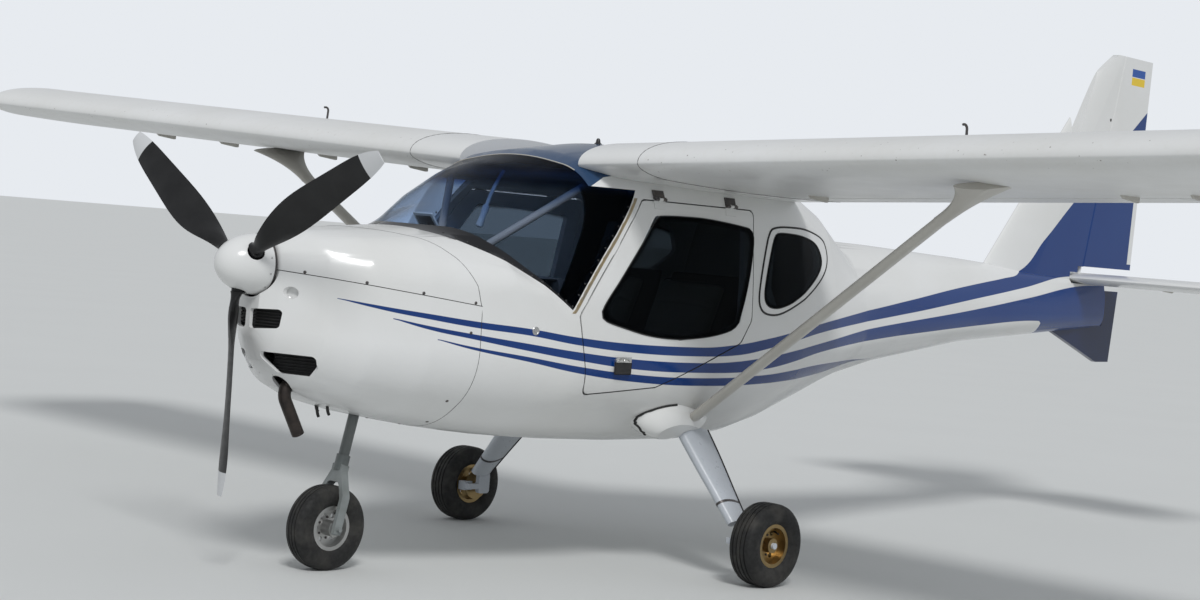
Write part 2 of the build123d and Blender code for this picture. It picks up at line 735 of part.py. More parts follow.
def spinner_dome(length, radius):
    """A half ellipsoid of revolution about the shaft, its tip at x = 0."""
    arc = Edge.make_ellipse(length, radius, Plane.XY, 90, 180)
    arc = Pos(length, 0, 0) * arc
    back = Edge.make_line((length, radius, 0), (length, 0, 0))
    centre = Edge.make_line((length, 0, 0), (0, 0, 0))
    return Pos(0, 0, shaft_z) * revolve(Face(Wire([arc, back, centre])), Axis.X)


def lens(chord, thickness, quarter=0.32):
    """A blade section: two arcs between the nose and the tail, fuller on the front."""
    nose, tail = (-chord * quarter, 0, 0), (chord * (1 - quarter), 0, 0)
    middle = chord * (0.5 - quarter)
    front = Edge.make_three_point_arc(nose, (middle, thickness * 0.7, 0), tail)
    back = Edge.make_three_point_arc(tail, (middle, -thickness * 0.3, 0), nose)
    return Face(Wire([front, back]))


def make_blade():
    """A blade that stands up along +Z from the hub's centre, turning about X."""
    shank_end = blade_sections[0][0] - 60
    shank = Pos(0, 0, hub_r - 14) * post(shank_r, shank_end - hub_r + 18)
    root_plane = Plane(origin=(0, 0, shank_end), x_dir=(0, 1, 0), z_dir=(0, 0, 1))
    faces = [root_plane * lens(2 * shank_r, 2 * shank_r)]
    for radius, chord, thickness, angle in blade_sections:
        lean = radians(angle)
        plane = Plane(origin=(0, 0, radius), x_dir=(-sin(lean), cos(lean), 0), z_dir=(0, 0, 1))
        faces.append(plane * lens(chord, thickness))
    return shank + loft(faces)


def airfoil_height(x):
    """Upper and lower surface heights at a chord station."""
    crest_x = wing_crest_share * wing_chord
    half_tail = wing_tail_thickness / 2
    rise = wing_crest - half_tail
    run = wing_chord - crest_x
    upper_r = (run * run + rise * rise) / (2 * rise)
    lower_rise = wing_belly - half_tail
    lower_run = wing_chord - wing_belly_x
    lower_r = (lower_run * lower_run + lower_rise * lower_rise) / (2 * lower_rise)
    upper = wing_crest - upper_r + (upper_r ** 2 - (x - crest_x) ** 2) ** 0.5
    lower = -wing_belly + lower_r - (lower_r ** 2 - (x - wing_belly_x) ** 2) ** 0.5
    return upper, lower


def airfoil(nose, tail, thickness_share):
    """Wing section in X and Z: two quarter ellipses at the nose and two arcs back to a blunt tail."""
    scale = (tail - nose) / wing_chord
    crest_x, crest_z = wing_crest_share * wing_chord * scale, wing_crest * thickness_share
    belly_x, belly_z = wing_belly_x * scale, wing_belly * thickness_share
    half_tail = wing_tail_thickness / 2 * max(thickness_share, 0.5)
    end = tail - nose
    edges = [
        Edge.make_ellipse(crest_x, crest_z, Plane(origin=(crest_x, 0, 0)), 90, 180),
        Edge.make_ellipse(belly_x, belly_z, Plane(origin=(belly_x, 0, 0)), 180, 270),
        Edge.make_tangent_arc((belly_x, -belly_z, 0), (1, 0, 0), (end, -half_tail, 0)),
        Edge.make_line((end, -half_tail, 0), (end, half_tail, 0)),
        Edge.make_tangent_arc((crest_x, crest_z, 0), (1, 0, 0), (end, half_tail, 0)),
    ]
    return Pos(nose, 0, 0) * Face(Wire(edges))


def span_plane(y):
    """Section plane at a distance along the wing, with Z up."""
    return Plane.XZ.offset(-y)


def wing_place():
    """From the wing's own frame, nose line along Y, to the aeroplane."""
    return Pos(wing_nose_x, wing_root_y, wing_nose_z) * Rot(wing_dihedral, 0, 0) * Rot(0, wing_incidence, 0)


def span_bar(x, z, low, high, radius):
    return rod((x, low, z), (x, high, z), radius)


def make_wing():
    hinge_x = flap_hinge_share * wing_chord
    upper, lower = airfoil_height(hinge_x)
    hinge_z = (upper + lower) / 2
    nose_r = (upper - lower) / 2 - 1
    section = airfoil(0, wing_chord, 1.0)
    tip_length = wing_half_span - wing_root_y - wing_tip_start
    stub = extrude(span_plane(-150) * section, -(150 + wing_seam))
    panel = extrude(span_plane(wing_seam + seat_gap) * section, -(wing_tip_start - wing_seam - seat_gap))
    tip_faces = []
    for share, setback, thickness in tip_sections:
        tail = wing_chord - tip_tail_setback * share * share
        plane = span_plane(wing_tip_start + share * tip_length)
        tip_faces.append(plane * airfoil(setback, tail, thickness))
    panel += loft(tip_faces)
    surfaces = {}
    tall = 400.0
    for name, start, end in (("flap", flap_start, flap_end), ("aileron", aileron_start, aileron_end)):
        whole = extrude(span_plane(start) * section, -(end - start))
        behind = block((hinge_x, start, -tall), (wing_chord + tall, end, tall))
        surface = (whole & behind) + span_bar(hinge_x, hinge_z, start, end, nose_r)
        wide_start, wide_end = start - running_gap, end + running_gap
        cove = span_bar(hinge_x, hinge_z, wide_start, wide_end, nose_r + running_gap)
        cove += block((hinge_x, wide_start, -tall), (wing_chord + tall, wide_end, tall))
        panel -= cove
        for rib, inward in ((wide_start, 1), (wide_end, -1)):
            tip = rib + inward * (running_gap + hinge_pin_reach)
            low, high = sorted((rib - inward, tip))
            panel += span_bar(hinge_x, hinge_z, low, high, surface_pin_r)
            surface -= span_bar(hinge_x, hinge_z, low, high + inward, surface_pin_r + surface_pin_clearance)
        surfaces[name] = surface
    place = wing_place()
    vent = make_vent()
    made = {}
    made.update(both_sides("wing_root", largest((place * stub) - cabin_outer)))
    made.update(both_sides("wing", place * panel))
    for name, surface in surfaces.items():
        made.update(both_sides(name, place * surface))
    right_vent = place * vent
    made["tank_vents"] = Compound(children=[right_vent, mirrored(right_vent)])
    return made


def make_vent():
    """A bent breather tube on the wing's top."""
    x = vent_chord_share * wing_chord
    base = airfoil_height(x)[0]
    foot = (x, vent_station, base + seat_gap)
    bend = (x, vent_station, base + vent_rise)
    mouth = (x - vent_mouth_reach, vent_station, base + vent_rise - 4)
    path = FilletPolyline(foot, bend, mouth, radius=vent_bend)
    return sweep(Plane(origin=foot, z_dir=(0, 0, 1)) * Circle(vent_r), path)


def streamlined(chord, thickness):
    """A strut section with a round nose and a sharper tail, its chord along local X."""
    nose_x, tail_x = -0.38 * chord, 0.62 * chord
    half = thickness / 2
    edges = [
        Edge.make_ellipse(-nose_x, half, Plane.XY, 90, 270),
        Edge.make_three_point_arc((0, -half, 0), (tail_x * 0.55, -half * 0.62, 0), (tail_x, 0, 0)),
        Edge.make_three_point_arc((tail_x, 0, 0), (tail_x * 0.55, half * 0.62, 0), (0, half, 0)),
    ]
    return Face(Wire(edges))


def line_plane(point, along):
    """A plane across a line, its X as near aft as it can be."""
    along = along.normalized()
    across = aft - along * aft.dot(along)
    return Plane(origin=point, x_dir=across, z_dir=along)


def wing_lower_solid():
    """The wing from root to tip without its hinged surfaces cut out, for trimming what meets it below."""
    section = airfoil(0, wing_chord, 1.0)
    return wing_place() * extrude(span_plane(0) * section, -wing_tip_start)


def make_struts_and_main_gear():
    foot, head = Vector(*strut_foot), Vector(*strut_head)
    along = (head - foot).normalized()
    inner_end = foot - along * strut_sunk
    length = (head - inner_end).length + strut_reach
    strut = extrude(line_plane(inner_end, along) * streamlined(strut_chord, strut_thickness), length)
    gusset_low = head - along * gusset_length
    wide = gusset_rear_x - gusset_front_x
    middle_x = (gusset_front_x + gusset_rear_x) / 2 - 0.12 * wide
    top_middle = Vector(middle_x, head.Y, head.Z) + along * strut_reach
    gusset = loft([
        line_plane(gusset_low, along) * streamlined(strut_chord + 4, strut_thickness + 3),
        line_plane(head - along * 20, along) * streamlined(strut_chord * 1.75, gusset_thickness + 6),
        line_plane(top_middle, along) * streamlined(wide, gusset_thickness),
    ])
    strut += gusset
    bulge = fairing_solid(0)
    bulge_clear = fairing_solid(seat_gap)
    strut = largest(strut - [wing_lower_solid(), cabin_outer, bulge_clear])
    top, low = Vector(*leg_top), Vector(*leg_foot)
    slope = (low - top).normalized()
    leg = loft([
        line_plane(top, slope) * streamlined(leg_top_chord, leg_top_thickness),
        line_plane(low, slope) * streamlined(leg_foot_chord, leg_foot_thickness),
    ])
    leg = largest(leg - [bulge_clear, cabin_outer])
    foot_y = leg_foot[1]
    foot_low_z = main_axle_z - foot_length / 2
    foot_block = block(
        (main_axle_x - foot_length / 2, foot_y - foot_width / 2, foot_low_z),
        (main_axle_x + foot_length / 2, foot_y + foot_width / 2, foot_low_z + foot_height),
    )
    foot_block = fillet(foot_block.edges().filter_by(Axis.Y), 14)
    leg += foot_block
    axle_end = main_track_half + main_tyre_width / 2 - 12
    leg += rod((main_axle_x, foot_y, main_axle_z), (main_axle_x, axle_end, main_axle_z), axle_r)
    disc_y = main_track_half - main_tyre_width / 2 - brake_disc_inset
    disc_front = main_axle_x - brake_disc_r
    caliper_low_z, caliper_high_z = main_axle_z - caliper_height / 2, main_axle_z + caliper_height / 2
    caliper = block(
        (disc_front - caliper_length * 0.55, disc_y - caliper_width / 2, caliper_low_z),
        (disc_front + caliper_length * 0.45, disc_y + caliper_width / 2 - 6, caliper_high_z),
    )
    slot_reach = brake_disc_r + running_gap
    slot_start = (main_axle_x, disc_y - caliper_slot, main_axle_z)
    slot_end = (main_axle_x, disc_y + caliper_slot, main_axle_z)
    caliper -= rod(slot_start, slot_end, slot_reach)
    arm_front = disc_front - caliper_length * 0.5
    arm_half = caliper_height * 0.3
    leg += [
        caliper,
        block(
            (arm_front, foot_y - foot_width / 2, main_axle_z - arm_half),
            (main_axle_x - foot_length / 2 + 4, foot_y + foot_width / 2, main_axle_z + arm_half),
        ),
        block(
            (arm_front, foot_y - foot_width / 2, main_axle_z - arm_half),
            (main_axle_x - slot_reach - 2, disc_y - caliper_slot - 1, main_axle_z + arm_half),
        ),
    ]
    made = {}
    made.update(both_sides("lift_strut", strut))
    made.update(both_sides("gear_fairing", largest(bulge - cabin_outer)))
    made.update(both_sides("main_gear_leg", leg))
    return made


def fairing_solid(grow):
    """A streamlined boss on the cabin's side, from which the gear leg grows."""
    outward = Vector(*fairing_outward).normalized()
    sections = []
    for distance, chord, thickness in fairing_sections:
        centre = Vector(*fairing_centre) + outward * (distance + (grow if distance > 0 else 0))
        sections.append(line_plane(centre, outward) * streamlined(chord + 2 * grow, thickness + 2 * grow))
    return loft(sections)


def make_wheel(centre, radius, width, rim_r, hub_half, bore_r, disc=None):
    """A cast rim and its tyre, turning about an axle along Y."""
    half = width / 2
    bead = half * bead_half_share
    flange_r = rim_r + rim_flange
    rim = Cylinder(flange_r, 2 * bead + 2 * rim_wall, rotation=(90, 0, 0))
    rim -= ring_cut(bead, rim_r, flange_r + 40)
    bowl_r = rim_r - rim_wall
    for side in (1, -1):
        depth = bead + rim_wall - wheel_disc_thickness / 2 + 10
        bowl = Cylinder(bowl_r, depth, rotation=(90, 0, 0))
        rim -= Pos(0, side * (wheel_disc_thickness / 2 + depth / 2), 0) * bowl
    rim += Cylinder(wheel_hub_r, 2 * hub_half, rotation=(90, 0, 0))
    hole_ring = (wheel_hub_r + bowl_r) / 2
    for i in range(rim_cut_count):
        turn = 360.0 / rim_cut_count * i
        rim -= Rot(0, turn, 0) * Pos(hole_ring, 0, 0) * Cylinder(rim_cut_r, width, rotation=(90, 0, 0))
    if disc:
        rim += disc
    rim -= Cylinder(bore_r, 2 * hub_half + width, rotation=(90, 0, 0))
    tyre = tyre_solid(radius, half, rim_r, bead)
    return Pos(*centre) * rim, Pos(*centre) * tyre


def ring_cut(half, inner, outer):
    cut = Cylinder(outer, 2 * half, rotation=(90, 0, 0))
    return cut - Cylinder(inner, 2 * half, rotation=(90, 0, 0))


def tyre_solid(radius, half, rim_r, bead):
    """A rounded carcass seated on the rim, revolved about Y."""
    crown = half * tyre_crown_share
    shoulder_r = radius - half * 0.42
    lower = rim_r + seat_gap
    belly_r = rim_r + (radius - rim_r) * 0.46
    heel_r = rim_r + rim_flange + 6
    side = [(lower, bead - seat_gap), (heel_r, bead - seat_gap), (belly_r, half)]
    side += [(shoulder_r, half * 0.97), (radius, crown)]
    points = [(r, -y) for r, y in side] + side[::-1]
    share_side = [bead_round, bead_round, smooth, smooth, smooth]
    shares = share_side + share_side[::-1]
    profile = rounded_face(points, corner_radii(points, shares))
    return revolve(profile, Axis.Y)


def make_wheels():
    made = {}
    half = main_tyre_width / 2
    disc_y = -half - brake_disc_inset
    disc = Pos(0, disc_y, 0) * Cylinder(brake_disc_r, brake_disc_thickness, rotation=(90, 0, 0))
    disc += Pos(0, disc_y / 2, 0) * Cylinder(wheel_hub_r, -disc_y, rotation=(90, 0, 0))
    centre = (main_axle_x, main_track_half, main_axle_z)
    bore_r = axle_r + axle_clearance
    rim, tyre = make_wheel(centre, main_axle_z, main_tyre_width, main_rim_r, half * 0.62, bore_r, disc)
    made.update(both_sides("main_rim", rim))
    made.update(both_sides("main_tyre", tyre))
    centre = (nose_axle_x, 0, nose_axle_z)
    bore_r = nose_axle_r + axle_clearance
    hub_half = fork_inner_half - 1.5
    rim, tyre = make_wheel(centre, nose_axle_z, nose_tyre_width, nose_rim_r, hub_half, bore_r)
    made["nose_rim"] = rim
    made["nose_tyre"] = tyre
    return made


def make_nose_gear():
    """Raked leg and fork, turning in two lugs on the firewall."""
    rake = Pos(nose_axle_x, 0, nose_axle_z) * Rot(0, nose_rake, 0)
    leg = Pos(0, 0, nose_leg_low) * post(nose_leg_r, nose_leg_high - nose_leg_low)
    low_lug = nose_leg_lugs[0] - nose_lug_height / 2
    leg += Pos(0, 0, low_lug - leg_collar_height - 1) * post(leg_collar_r, leg_collar_height)
    leg += Pos(0, 0, nose_leg_low) * post(leg_collar_r, leg_socket_height)
    neck_top = fork_crown + fork_neck_height
    inner_side = [(fork_crown_half, fork_inner_crown), (fork_inner_half, fork_inner_shoulder)]
    inner_side += [(fork_inner_half, -fork_foot)]
    outer_side = [(fork_outer_half, -fork_foot), (fork_outer_half, fork_outer_shoulder)]
    outer_side += [(fork_neck_half, fork_crown), (fork_neck_half, neck_top)]
    right_side = inner_side + outer_side
    outline = right_side + [(-y, z) for y, z in reversed(right_side)]
    radii = list(fork_corner_radii) + list(reversed(fork_corner_radii))
    face = rounded_face([tuple(map(float, p)) for p in outline], radii)
    fork = Pos(-fork_depth / 2, 0, 0) * extrude(Plane.YZ * face, fork_depth)
    fork = rake * fork
    axle_half = fork_outer_half + nose_axle_end
    axle = ((nose_axle_x, -axle_half, nose_axle_z), (nose_axle_x, axle_half, nose_axle_z))
    fork += rod(*axle, nose_axle_r)
    leg = rake * leg
    leg -= fork
    lugs = None
    for height in nose_leg_lugs:
        low = height - nose_lug_height / 2
        lug = Pos(0, 0, low) * post(nose_lug_r, nose_lug_height)
        arm = block((0, -nose_lug_r, low), (400, nose_lug_r, low + nose_lug_height))
        bore = Pos(0, 0, low - 5) * post(nose_leg_r + nose_leg_clearance, nose_lug_height + 10)
        lug = (lug + arm) - bore
        lugs = lug if lugs is None else lugs + lug
    lugs = (rake * lugs) & slab(0, cowl_rear_x - firewall_thickness - seat_gap)
    return {"nose_leg": leg, "nose_fork": fork, "nose_leg_mount": lugs}


def symmetric_section(length, thickness, tail_thickness):
    """A tail section in X and Y: half an ellipse at the nose, then straight sides."""
    nose = crest_share * length
    half, half_tail = thickness / 2, tail_thickness / 2
    edges = [
        Edge.make_ellipse(nose, half, Plane(origin=(nose, 0, 0)), 90, 270),
        Edge.make_line((nose, -half, 0), (length, -half_tail, 0)),
        Edge.make_line((length, -half_tail, 0), (length, half_tail, 0)),
        Edge.make_line((length, half_tail, 0), (nose, half, 0)),
    ]
    return Face(Wire(edges))


def rudder_hinge_at(z):
    (low_x, low_z), (high_x, high_z) = rudder_hinge_low, rudder_hinge_high
    return low_x + (high_x - low_x) * (z - low_z) / (high_z - low_z)


def make_fin_and_rudder():
    """The fin and rudder are one swept symmetric surface, split on a raked hinge line."""
    faces = []
    for z, thickness in ((fin_root_z, fin_base_thickness), (fin_top_z, fin_top_thickness)):
        nose_x, tail_x = fin_nose_at(z), fin_tail_at(z)
        section = symmetric_section(tail_x - nose_x, thickness, rudder_tail_thickness)
        faces.append(Pos(nose_x, 0, z) * section)
    ahead_x = fin_nose_at(fin_top_z) - 330
    corner = [(ahead_x, fin_top_z - 575), fin_corner_low, (fin_corner_high_x, fin_top_z)]
    corner += [(fin_corner_high_x, fin_top_z + 200), (ahead_x, fin_top_z + 200)]
    whole = loft(faces) - side_prism(corner, -beyond, beyond)
    (low_x, low_z), (high_x, high_z) = rudder_hinge_low, rudder_hinge_high
    past_x, past_z = tail_room_rear_x, high_z + 300
    behind = [(low_x, low_z - 600), (past_x, low_z - 600), (past_x, past_z)]
    behind = side_prism(behind + [(rudder_hinge_at(past_z), past_z), (low_x, low_z)], -beyond, beyond)
    fin = whole - [behind, hinge_cone(running_gap), rudder_post(running_gap, 10.0)]
    fin -= block((low_x - 60, -200, 1000), (past_x, 200, rudder_bottom_z - 2))
    above = block(
        (tail_room_front_x, -beyond, rudder_bottom_z),
        (overall_length, beyond, fin_top_z),
    )
    rudder = ((whole & behind) + hinge_cone(0)) & above
    rudder -= rudder_post(surface_pin_clearance, 2.0)
    return fin, rudder


def hinge_cone(grow):
    """The rudder's round nose along its hinge line."""
    (low_x, low_z), (high_x, high_z) = rudder_hinge_low, rudder_hinge_high
    start = Vector(low_x, 0, low_z)
    along = Vector(high_x, 0, high_z) - start
    low_r = hinge_thickness(rudder_bottom_z) / 2 - 1 + grow
    high_r = hinge_thickness(fin_top_z) / 2 - 1 + grow
    plane = Plane(origin=start, x_dir=(0, 1, 0), z_dir=along.normalized())
    return loft([plane * Circle(low_r), plane.offset(along.length) * Circle(high_r)])


def fin_nose_at(z):
    (low_x, low_z), (high_x, high_z) = (fin_root_front_x, fin_nose_low_z), fin_corner_low
    return low_x + (high_x - low_x) * (z - low_z) / (high_z - low_z)


def fin_tail_at(z):
    share = (z - rudder_bottom_z) / (fin_top_z - rudder_bottom_z)
    return rudder_tail_low_x + (overall_length - rudder_tail_low_x) * share


def rudder_post(grow, extra):
    """The hinge post that stands on the tailplane and carries the rudder's foot."""
    low_z, high_z = tailplane_z, rudder_bottom_z + rudder_post_reach + extra
    foot, head = (rudder_hinge_at(low_z), 0, low_z), (rudder_hinge_at(high_z), 0, high_z)
    return rod(foot, head, rudder_post_r + grow)


def hinge_thickness(z):
    """Thickness of the fin where the hinge line crosses a height."""
    nose_x, tail_x = fin_nose_at(z), fin_tail_at(z)
    share = (z - fin_root_z) / (fin_top_z - fin_root_z)
    thickness = fin_base_thickness + (fin_top_thickness - fin_base_thickness) * share
    length = tail_x - nose_x
    crest_x = nose_x + crest_share * length
    part = (rudder_hinge_at(z) - crest_x) / (tail_x - crest_x)
    return thickness + (rudder_tail_thickness - thickness) * part


def make_tailplane():
    """Tailplane across the boom, and an elevator with a notch that clears the rudder."""
    half_span = tailplane_half_span
    section = symmetric_section(tailplane_chord, tailplane_thickness, elevator_tail_thickness)
    flat = Plane(origin=(tailplane_front_x, half_span, tailplane_z), x_dir=(1, 0, 0), z_dir=(0, -1, 0))
    whole = extrude(flat * section, 2 * half_span)
    tall = 200.0
    corner = tailplane_tip_r
    tail_x = tailplane_front_x + tailplane_chord
    plan = [(tailplane_front_x, -half_span), (tail_x, -half_span), (tail_x, half_span)]
    plan += [(tailplane_front_x, half_span)]
    outline = rounded_face(plan, [corner, tail_corner_r, tail_corner_r, corner])
    whole &= Pos(0, 0, tailplane_z - tall) * extrude(outline, 2 * tall)
    crest = crest_share * tailplane_chord
    part = (elevator_hinge_x - tailplane_front_x - crest) / (tailplane_chord - crest)
    nose_r = (tailplane_thickness + (elevator_tail_thickness - tailplane_thickness) * part) / 2 - 1
    behind = block(
        (elevator_hinge_x, -half_span - 50, tailplane_z - tall),
        (tail_room_rear_x, half_span + 50, tailplane_z + tall),
    )
    tailplane = whole - behind - hinge_bar(half_span, nose_r + running_gap)
    tube = hinge_bar(elevator_root_y + 20, torque_tube_r)
    half_bracket = torque_bracket_width / 2
    bracket = block(
        (elevator_hinge_x - 60, -half_bracket, tailplane_z - torque_bracket_r),
        (elevator_hinge_x, half_bracket, tailplane_z + torque_bracket_r),
    )
    bracket += hinge_bar(half_bracket, torque_bracket_r)
    bracket -= hinge_bar(100, torque_tube_r + surface_pin_clearance)
    tailplane += [bracket, rudder_post(0, 0)]
    side = [(tail_x + 60, elevator_notch_y), (elevator_hinge_x + 20, elevator_root_y)]
    side += [(elevator_hinge_x - 80, elevator_root_y)]
    notch = [(x, -y) for x, y in reversed(side)] + side
    notch = Pos(0, 0, tailplane_z - tall) * extrude(make_face(Polyline(*notch, close=True)), 2 * tall)
    elevator = ((whole & behind) + hinge_bar(half_span, nose_r)) - notch
    elevator &= block(
        (tail_room_front_x, -half_span + 2, tailplane_z - tall),
        (tail_room_rear_x, half_span - 2, tailplane_z + tall),
    )
    return tailplane, elevator + tube


def hinge_bar(half_length, radius):
    """A bar on the elevator's hinge line."""
    low = (elevator_hinge_x, -half_length, tailplane_z)
    return rod(low, (elevator_hinge_x, half_length, tailplane_z), radius)


def make_tail():
    fin, rudder = make_fin_and_rudder()
    tailplane, elevator = make_tailplane()
    half = ventral_thickness / 2
    keel = side_prism([tuple(map(float, p)) for p in ventral], -half, half)
    half_slot = tailplane_thickness / 2 + seat_gap
    slot = block(
        (tailplane_front_x - 1, -beyond, tailplane_z - half_slot),
        (tail_room_rear_x, beyond, tailplane_z + half_slot),
    )
    keel = largest(keel - boom_outer - hinge_bar(beyond, torque_tube_r + running_gap))
    fin = largest(fin - boom_outer - slot)
    made = {"fin": fin, "rudder": rudder, "tailplane": tailplane, "elevator": elevator}
    return made | {"ventral_fin": keel}


body_builders = (make_cowls, make_firewall_and_engine, make_exhaust, make_cabin, make_boom)
fitting_builders = (make_inside, make_interior_fittings, make_propeller, make_wing)
gear_builders = (make_struts_and_main_gear, make_wheels, make_nose_gear)
for builder in body_builders + fitting_builders + gear_builders:
    nodes.update(builder())
right_door, hinges = make_hinges(nodes["right_door_panel"])
nodes.update(both_sides("door_panel", right_door))
nodes["door_hinges"] = Compound(children=hinges + [mirrored(hinge) for hinge in hinges])
nodes.update(both_sides("door_latch", make_latch()))
nodes.update(make_tail())

os.makedirs("parts", exist_ok=True)
for name, shape in nodes.items():
    export_step(Pos(-overall_length / 2, 0, 0) * shape, "parts/" + name + ".step")
    print(name, round(shape.volume), len(shape.solids()))
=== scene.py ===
import math
import bpy
from mathutils import Matrix, Vector
from mathutils.bvhtree import BVHTree


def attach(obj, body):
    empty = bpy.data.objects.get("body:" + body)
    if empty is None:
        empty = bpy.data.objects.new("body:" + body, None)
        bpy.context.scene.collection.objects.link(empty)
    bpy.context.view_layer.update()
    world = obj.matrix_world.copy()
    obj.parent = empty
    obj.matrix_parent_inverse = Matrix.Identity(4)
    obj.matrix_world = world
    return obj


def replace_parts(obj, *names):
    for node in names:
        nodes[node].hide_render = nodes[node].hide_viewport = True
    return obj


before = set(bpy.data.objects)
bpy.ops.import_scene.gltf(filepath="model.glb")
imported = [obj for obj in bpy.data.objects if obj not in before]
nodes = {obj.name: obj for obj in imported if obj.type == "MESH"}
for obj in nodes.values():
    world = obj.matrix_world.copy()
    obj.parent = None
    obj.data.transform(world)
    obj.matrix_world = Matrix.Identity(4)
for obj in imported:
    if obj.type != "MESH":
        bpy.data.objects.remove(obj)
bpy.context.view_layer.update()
bpy.context.scene.view_settings.view_transform = "Standard"
print("frame loaded")

# small helpers

xAxis, yAxis, zAxis = Vector((1, 0, 0)), Vector((0, 1, 0)), Vector((0, 0, 1))
sides = {"left": -1, "right": 1}


def deselectAll():
    if bpy.context.object and bpy.context.object.mode != "OBJECT":
        bpy.ops.object.mode_set(mode="OBJECT")
    bpy.ops.object.select_all(action="DESELECT")


def pick(piece):
    deselectAll()
    piece.select_set(True)
    bpy.context.view_layer.objects.active = piece


def settle(piece):
    pick(piece)
    bpy.ops.object.transform_apply(location=True, rotation=True, scale=True)


def applyModifiers(piece):
    pick(piece)
    for modifier in list(piece.modifiers):
        bpy.ops.object.modifier_apply(modifier=modifier.name)


def openMesh(piece):
    pick(piece)
    bpy.ops.object.mode_set(mode="EDIT")
    bpy.ops.mesh.select_all(action="SELECT")


def closeMesh():
    bpy.ops.object.mode_set(mode="OBJECT")


def tidyMesh(piece, gap=0.00002):
    openMesh(piece)
    bpy.ops.mesh.remove_doubles(threshold=gap)
    bpy.ops.mesh.normals_make_consistent(inside=False)
    closeMesh()


def turnTo(point, direction, upright=zAxis):
    # a place at point, with its z axis along direction and its y axis near upright
    z = Vector(direction).normalized()
    x = Vector(upright).cross(z)
    if x.length < 0.001:
        x = xAxis.cross(z)
    if x.length < 0.001:
        x = yAxis.cross(z)
    x.normalize()
    y = z.cross(x)
    return Matrix.Translation(point) @ Matrix((x, y, z)).transposed().to_4x4()


def finishPiece(piece, name, body, finish, smoothAngle=38):
    settle(piece)
    piece.name = piece.data.name = name
    piece.data.materials.clear()
    piece.data.materials.append(finishes[finish])
    bpy.ops.object.shade_smooth_by_angle(angle=math.radians(smoothAngle))
    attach(piece, body)
    return piece


def joinAll(parts):
    deselectAll()
    for part in parts:
        part.select_set(True)
    bpy.context.view_layer.objects.active = parts[0]
    bpy.ops.object.transform_apply(location=True, rotation=True, scale=True)
    if len(parts) > 1:
        bpy.ops.object.join()
    return bpy.context.object


def twinAt(model, place):
    # a copy with its own mesh
    twin = model.copy()
    twin.data = model.data.copy()
    bpy.context.collection.objects.link(twin)
    twin.matrix_world = place
    return twin


def copiesAt(model, places):
    # copies joined into one piece, and the model itself goes
    copies = [twinAt(model, place) for place in places]
    bpy.data.objects.remove(model)
    return joinAll(copies)


def block(low, high, corner=0.003, steps=2):
    centre = [(a + b) / 2 for a, b in zip(low, high)]
    size = [abs(b - a) for a, b in zip(low, high)]
    deselectAll()
    bpy.ops.mesh.primitive_cube_add(size=1, location=centre, scale=size)
    piece = bpy.context.object
    settle(piece)
    openMesh(piece)
    bpy.ops.mesh.bevel(offset=corner, segments=steps, affect="EDGES")
    closeMesh()
    return piece


def lathe(outline, place=Matrix(), steps=40):
    # outline is a closed ring of (radius, height along the axis)
    deselectAll()
    bpy.ops.mesh.primitive_circle_add(vertices=len(outline), radius=1)
    piece = bpy.context.object
    for vertex, (radius, height) in zip(piece.data.vertices, outline):
        vertex.co = (radius, 0, height)
    openMesh(piece)
    bpy.ops.mesh.spin(steps=steps, angle=math.tau, center=(0, 0, 0), axis=(0, 0, 1))
    closeMesh()
    tidyMesh(piece)
    openMesh(piece)
    bpy.ops.mesh.delete_loose(use_verts=True, use_edges=True, use_faces=False)
    closeMesh()
    piece.matrix_world = place
    return piece


def pipe(points, radius, closed=False, smooth=False, rings=3):
    deselectAll()
    bpy.ops.curve.primitive_nurbs_path_add()
    piece = bpy.context.object
    curve = piece.data
    curve.splines.clear()
    spline = curve.splines.new("NURBS" if smooth else "POLY")
    spline.points.add(len(points) - 1)
    for knot, point in zip(spline.points, points):
        knot.co = (*point, 1)
    spline.use_cyclic_u = closed
    if smooth:
        spline.order_u = 3
        spline.use_endpoint_u = not closed
    curve.dimensions = "3D"
    curve.bevel_depth = radius
    curve.bevel_resolution = rings
    curve.use_fill_caps = not closed
    piece.location = (0, 0, 0)
    pick(piece)
    bpy.ops.object.convert(target="MESH")
    tidyMesh(bpy.context.object)
    return bpy.context.object


def treeOf(*names):
    points, faces = [], []
    for name in names:
        node = nodes[name]
        first = len(points)
        points += [node.matrix_world @ vertex.co for vertex in node.data.vertices]
        faces += [[first + i for i in face.vertices] for face in node.data.polygons]
    return BVHTree.FromPolygons(points, faces)


# a ray that slips into a gap is tried again just beside it, by (x, z)
raySteps = ((0, 0), (0.003, 0), (-0.003, 0), (0, 0.003), (0, -0.003), (0.006, 0.006), (-0.006, -0.006))


def onSide(tree, x, z, side):
    for aside, above in raySteps:
        start = Vector((x + aside, side * 3, z + above))
        hit, normal = tree.ray_cast(start, Vector((0, -side, 0)))[:2]
        if hit and normal.y * side > 0.15:
            return hit - Vector((aside, 0, above)), normal
    return hit, normal


def onTop(tree, x, y, high=4):
    return tree.ray_cast(Vector((x, y, high)), -zAxis)[:2]


def underneath(tree, x, y, low=-1):
    return tree.ray_cast(Vector((x, y, low)), zAxis)[:2]


def standOn(spots):
    # places that stand square to the skin, wherever a ray met it
    return [turnTo(hit, normal) for hit, normal in spots if hit]


# finishes

finishes, slotOf = {}, {}


